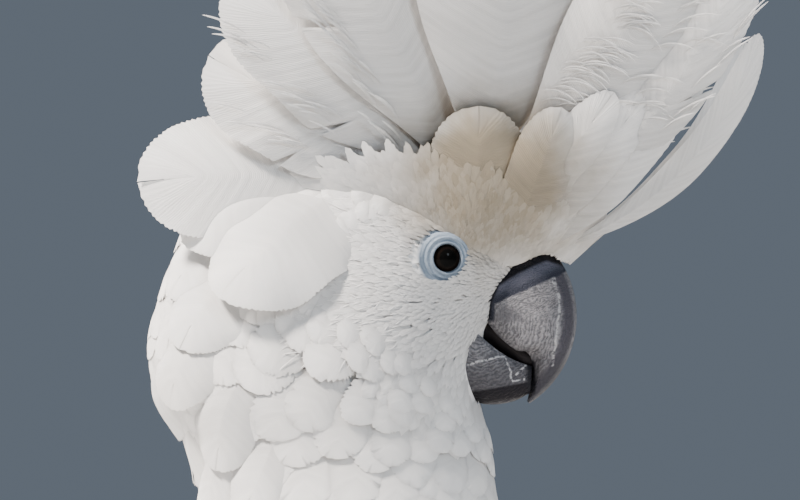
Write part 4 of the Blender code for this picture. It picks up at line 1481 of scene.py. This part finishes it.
def bill_material():
    """Slate horn under powder, with flaking lines that follow the ridge and the bill's base."""
    material, t, shader = shader_of("slate_horn", Specular_IOR_Level=0.05)
    place = t.place()
    x, _, z = t.parts(place)
    mm_x = t.math("MULTIPLY", t.math("SUBTRACT", x, EYE_LINE[0]), 1000.0)
    mm_z = t.math("MULTIPLY", t.math("SUBTRACT", z, EYE_LINE[2]), 1000.0)
    above = t.math("ADD", t.math("SUBTRACT", mm_z, t.math("MULTIPLY", mm_x, 0.44)), 18.9)
    base = t.math("MAXIMUM", above, t.math("SUBTRACT", 13.6, mm_x))
    base = t.math("MULTIPLY_ADD", t.noise(place, 500.0), 0.8, base)
    on_upper = t.ramp(mm_z, -19.0, -17.5)
    from_ridge = t.length(t.joined(t.math("SUBTRACT", mm_x, CULMEN[0]), t.math("SUBTRACT", mm_z, CULMEN[1])))
    rough = t.noise(place, 260.0, 5.0, 0.6)
    fine = t.noise(place, 900.0, 3.0, 0.6)
    lines = t.math("SINE", t.math("MULTIPLY", t.math("MULTIPLY_ADD", rough, 5.5, base), math.tau / 0.85))
    arcs = t.math("SINE", t.math("MULTIPLY", t.math("MULTIPLY_ADD", rough, 5.0, from_ridge), math.tau / 1.05))
    near_base = t.ramp(mm_z, -22.0, -12.0)
    flake = t.math("MULTIPLY_ADD", near_base, t.math("SUBTRACT", lines, arcs), arcs)
    powder = t.ramp(t.math("MULTIPLY_ADD", flake, 0.35, t.math("MULTIPLY", fine, 2.4)), 0.5, 1.9)
    slate = t.blend(rough, (0.035, 0.035, 0.041), (0.10, 0.10, 0.108))
    horn = t.blend(t.math("MULTIPLY_ADD", powder, 0.5, 0.08), slate, (0.38, 0.37, 0.39))
    wander = t.math("MULTIPLY_ADD", rough, 2.4, -1.2)
    profile = t.joined(t.math("ADD", mm_x, wander), t.math("ADD", mm_z, wander))
    worn = t.math("MULTIPLY", t.ramp(t.stroke(profile, [(17.5, -17.5), (23.0, -22.5)]), 4.4, 2.8), on_upper)
    horn = t.blend(t.math("MULTIPLY", worn, 0.6), horn, (0.085, 0.085, 0.095))
    # painted shade: a dark band just inside the ridge, where the bill's front turns away
    ridge_side_shade = t.math("MULTIPLY", t.ramp(from_ridge, 24.8, 26.4), t.ramp(from_ridge, 29.4, 28.2))
    horn = t.blend(t.math("MULTIPLY", ridge_side_shade, 0.8), horn, (0.045, 0.042, 0.056))
    horn = t.blend(t.math("MULTIPLY", t.ramp(mm_z, -25.0, -35.0), 0.65), horn, (0.04, 0.039, 0.046))
    pale = t.math("MULTIPLY", t.ramp(t.stroke(profile, UPPER_MARK), 0.5, 0.1), 0.6)
    for mark in LOWER_MARKS:
        pale = t.math("MAXIMUM", pale, t.math("MULTIPLY", t.ramp(t.stroke(profile, mark), 0.42, 0.12), 0.8))
    pale = t.math("MULTIPLY", pale, t.ramp(fine, 0.36, 0.54))
    horn = t.blend(pale, horn, (0.58, 0.57, 0.58))
    # painted shade: the lower bill's underside below its keel line is made near-black
    keel_shade = t.math("SUBTRACT", t.math("MULTIPLY_ADD", mm_x, 0.17, -39.6), mm_z)
    behind_tip = t.math("MULTIPLY", t.ramp(mm_x, 25.0, 24.4), t.ramp(keel_shade, 5.4, 4.0))
    keel_shade = t.math("MULTIPLY", t.ramp(keel_shade, -0.3, 0.6), behind_tip)
    horn = t.blend(t.math("MULTIPLY", keel_shade, 0.95), horn, (0.014, 0.013, 0.016))
    cere = t.blend(t.ramp(base, 0.4, 4.5), (0.03, 0.033, 0.046), (0.085, 0.088, 0.115))
    horn = t.blend(t.math("MULTIPLY", t.ramp(base, -0.4, 0.5), on_upper), horn, cere)
    rim = t.ramp(t.stroke(t.joined(mm_x, mm_z), CERE_RIM), 2.0, 0.9)
    horn = t.blend(rim, horn, (0.008, 0.008, 0.010))
    # painted shade: near-black in the gap between the hook and the lower bill's front
    front = t.math("MULTIPLY", t.ramp(mm_x, 22.4, 24.0), t.ramp(mm_x, 26.2, 25.4))
    hook_gap_shade = t.math("MULTIPLY", t.ramp(mm_z, -28.5, -30.5), t.ramp(mm_z, -40.5, -38.0))
    horn = t.blend(t.math("MULTIPLY", front, hook_gap_shade), horn, (0.018, 0.018, 0.022))
    t.feed(shader.inputs["Base Color"], horn)
    t.feed(shader.inputs["Roughness"], t.ramp(powder, 0.0, 1.0, 0.34, 0.7))
    bump(t, shader, t.math("MULTIPLY_ADD", powder, 1.3, fine), 0.0002, 0.9)
    return material


def claw_material():
    material, t, shader = shader_of("dark_claw", Specular_IOR_Level=0.5)
    streak = t.noise(t.place(), 400.0, 4.0)
    t.feed(shader.inputs["Base Color"], t.blend(streak, (0.035, 0.034, 0.036), (0.11, 0.105, 0.10)))
    t.feed(shader.inputs["Roughness"], t.ramp(streak, 0.3, 0.7, 0.3, 0.5))
    bump(t, shader, streak, 0.0002, 0.5)
    return material


def mouth_material():
    """The dark inside of the mouth, near-black also as painted shade."""
    material, t, shader = shader_of("dark_mouth", Specular_IOR_Level=0.15)
    grain = t.noise(t.place(), 700.0, 3.0)
    t.feed(shader.inputs["Base Color"], t.blend(grain, (0.006, 0.005, 0.006), (0.018, 0.015, 0.016)))
    t.feed(shader.inputs["Roughness"], t.ramp(grain, 0.3, 0.7, 0.6, 0.75))
    bump(t, shader, grain, 0.0002, 0.5)
    return material


def eye_material(eye_reach):
    """Dark brown iris round a black pupil under a clear wet surface."""
    material, t, shader = shader_of("dark_eye", Coat_Weight=0.07, Coat_Roughness=0.14, Specular_IOR_Level=0.0)
    reach = use(t, eye_reach)
    grain = t.noise(t.place(), 1500.0, 3.0)
    iris = t.blend(grain, (0.003, 0.0022, 0.002), (0.007, 0.0045, 0.0035))
    t.feed(shader.inputs["Base Color"], t.blend(t.ramp(reach, 0.0024, 0.0027), (0.002, 0.002, 0.002), iris))
    t.feed(shader.inputs["Roughness"], t.ramp(grain, 0.3, 0.7, 0.2, 0.3))
    return material


# ---------------------------------------------------------------- studio


def studio():
    shape = bmesh.new()
    bmesh.ops.create_circle(shape, cap_ends=True, segments=96, radius=3.0)
    mesh = bpy.data.meshes.new("floor")
    shape.to_mesh(mesh)
    shape.free()
    material, t, shader = shader_of("pale_floor")
    grain = t.noise(t.place(), 40.0, 4.0)
    t.feed(shader.inputs["Base Color"], t.blend(grain, (0.60, 0.60, 0.59), (0.64, 0.64, 0.63)))
    t.feed(shader.inputs["Roughness"], t.ramp(grain, 0.3, 0.7, 0.75, 0.85))
    mesh.materials.append(material)
    floor = show("floor", mesh)

    surround = bpy.data.worlds.new("studio")
    surround.use_nodes = True
    background = surround.node_tree.nodes["Background"]
    background.inputs["Color"].default_value = (0.12, 0.145, 0.18, 1.0)
    bpy.context.scene.world = surround

    middle = Vector(world((-20, 0, 0)))
    for name, azimuth, height, distance, size, power, colour in (
        ("key", -64, 1.25, 1.0, 0.25, 112, (1.0, 0.91, 0.83)),
        ("fill", 30, 0.7, 1.3, 0.35, 11, (0.80, 0.90, 1.0)),
        ("rim", -140, 0.9, 1.3, 0.6, 30, (1.0, 0.96, 0.9)),
    ):
        light = bpy.data.lights.new(name, "AREA")
        light.energy, light.size, light.color = power, size, colour
        lamp = show(name, light)
        turn = math.radians(azimuth)
        lamp.location = middle + Vector((math.sin(turn) * distance, -math.cos(turn) * distance, height))
        lamp.rotation_euler = (middle - lamp.location).to_track_quat("-Z", "Y").to_euler()


def camera():
    """Level with the head, square to its right side."""
    lens = bpy.data.cameras.new("camera")
    lens.lens = 155.0
    view = show("camera", lens)
    view.location = world((-13.3, -1000.0, 2.3))
    view.rotation_euler = (math.pi / 2, 0.0, 0.0)
    bpy.context.scene.camera = view


def main():
    look, eye_reach = plumage_group(), eye_group()
    white = plumage_material("white_feathers", look, 0.08, 1.0, 0.72)
    soft = plumage_material("soft_feathers", look, 0.02, 0.5, 0.72)
    downy = plumage_material("downy_feathers", look, 0.02, 0.3, 0.92)
    skin(skin_material(look, eye_reach))
    small_feathers(soft)
    forehead(downy)
    crest(white)
    lobes(soft)
    wings(white)
    tail(white)
    bill(bill_material())
    tongue(mouth_material())
    claws(claw_material())
    eyes(eye_material(eye_reach))
    studio()
    camera()


main()
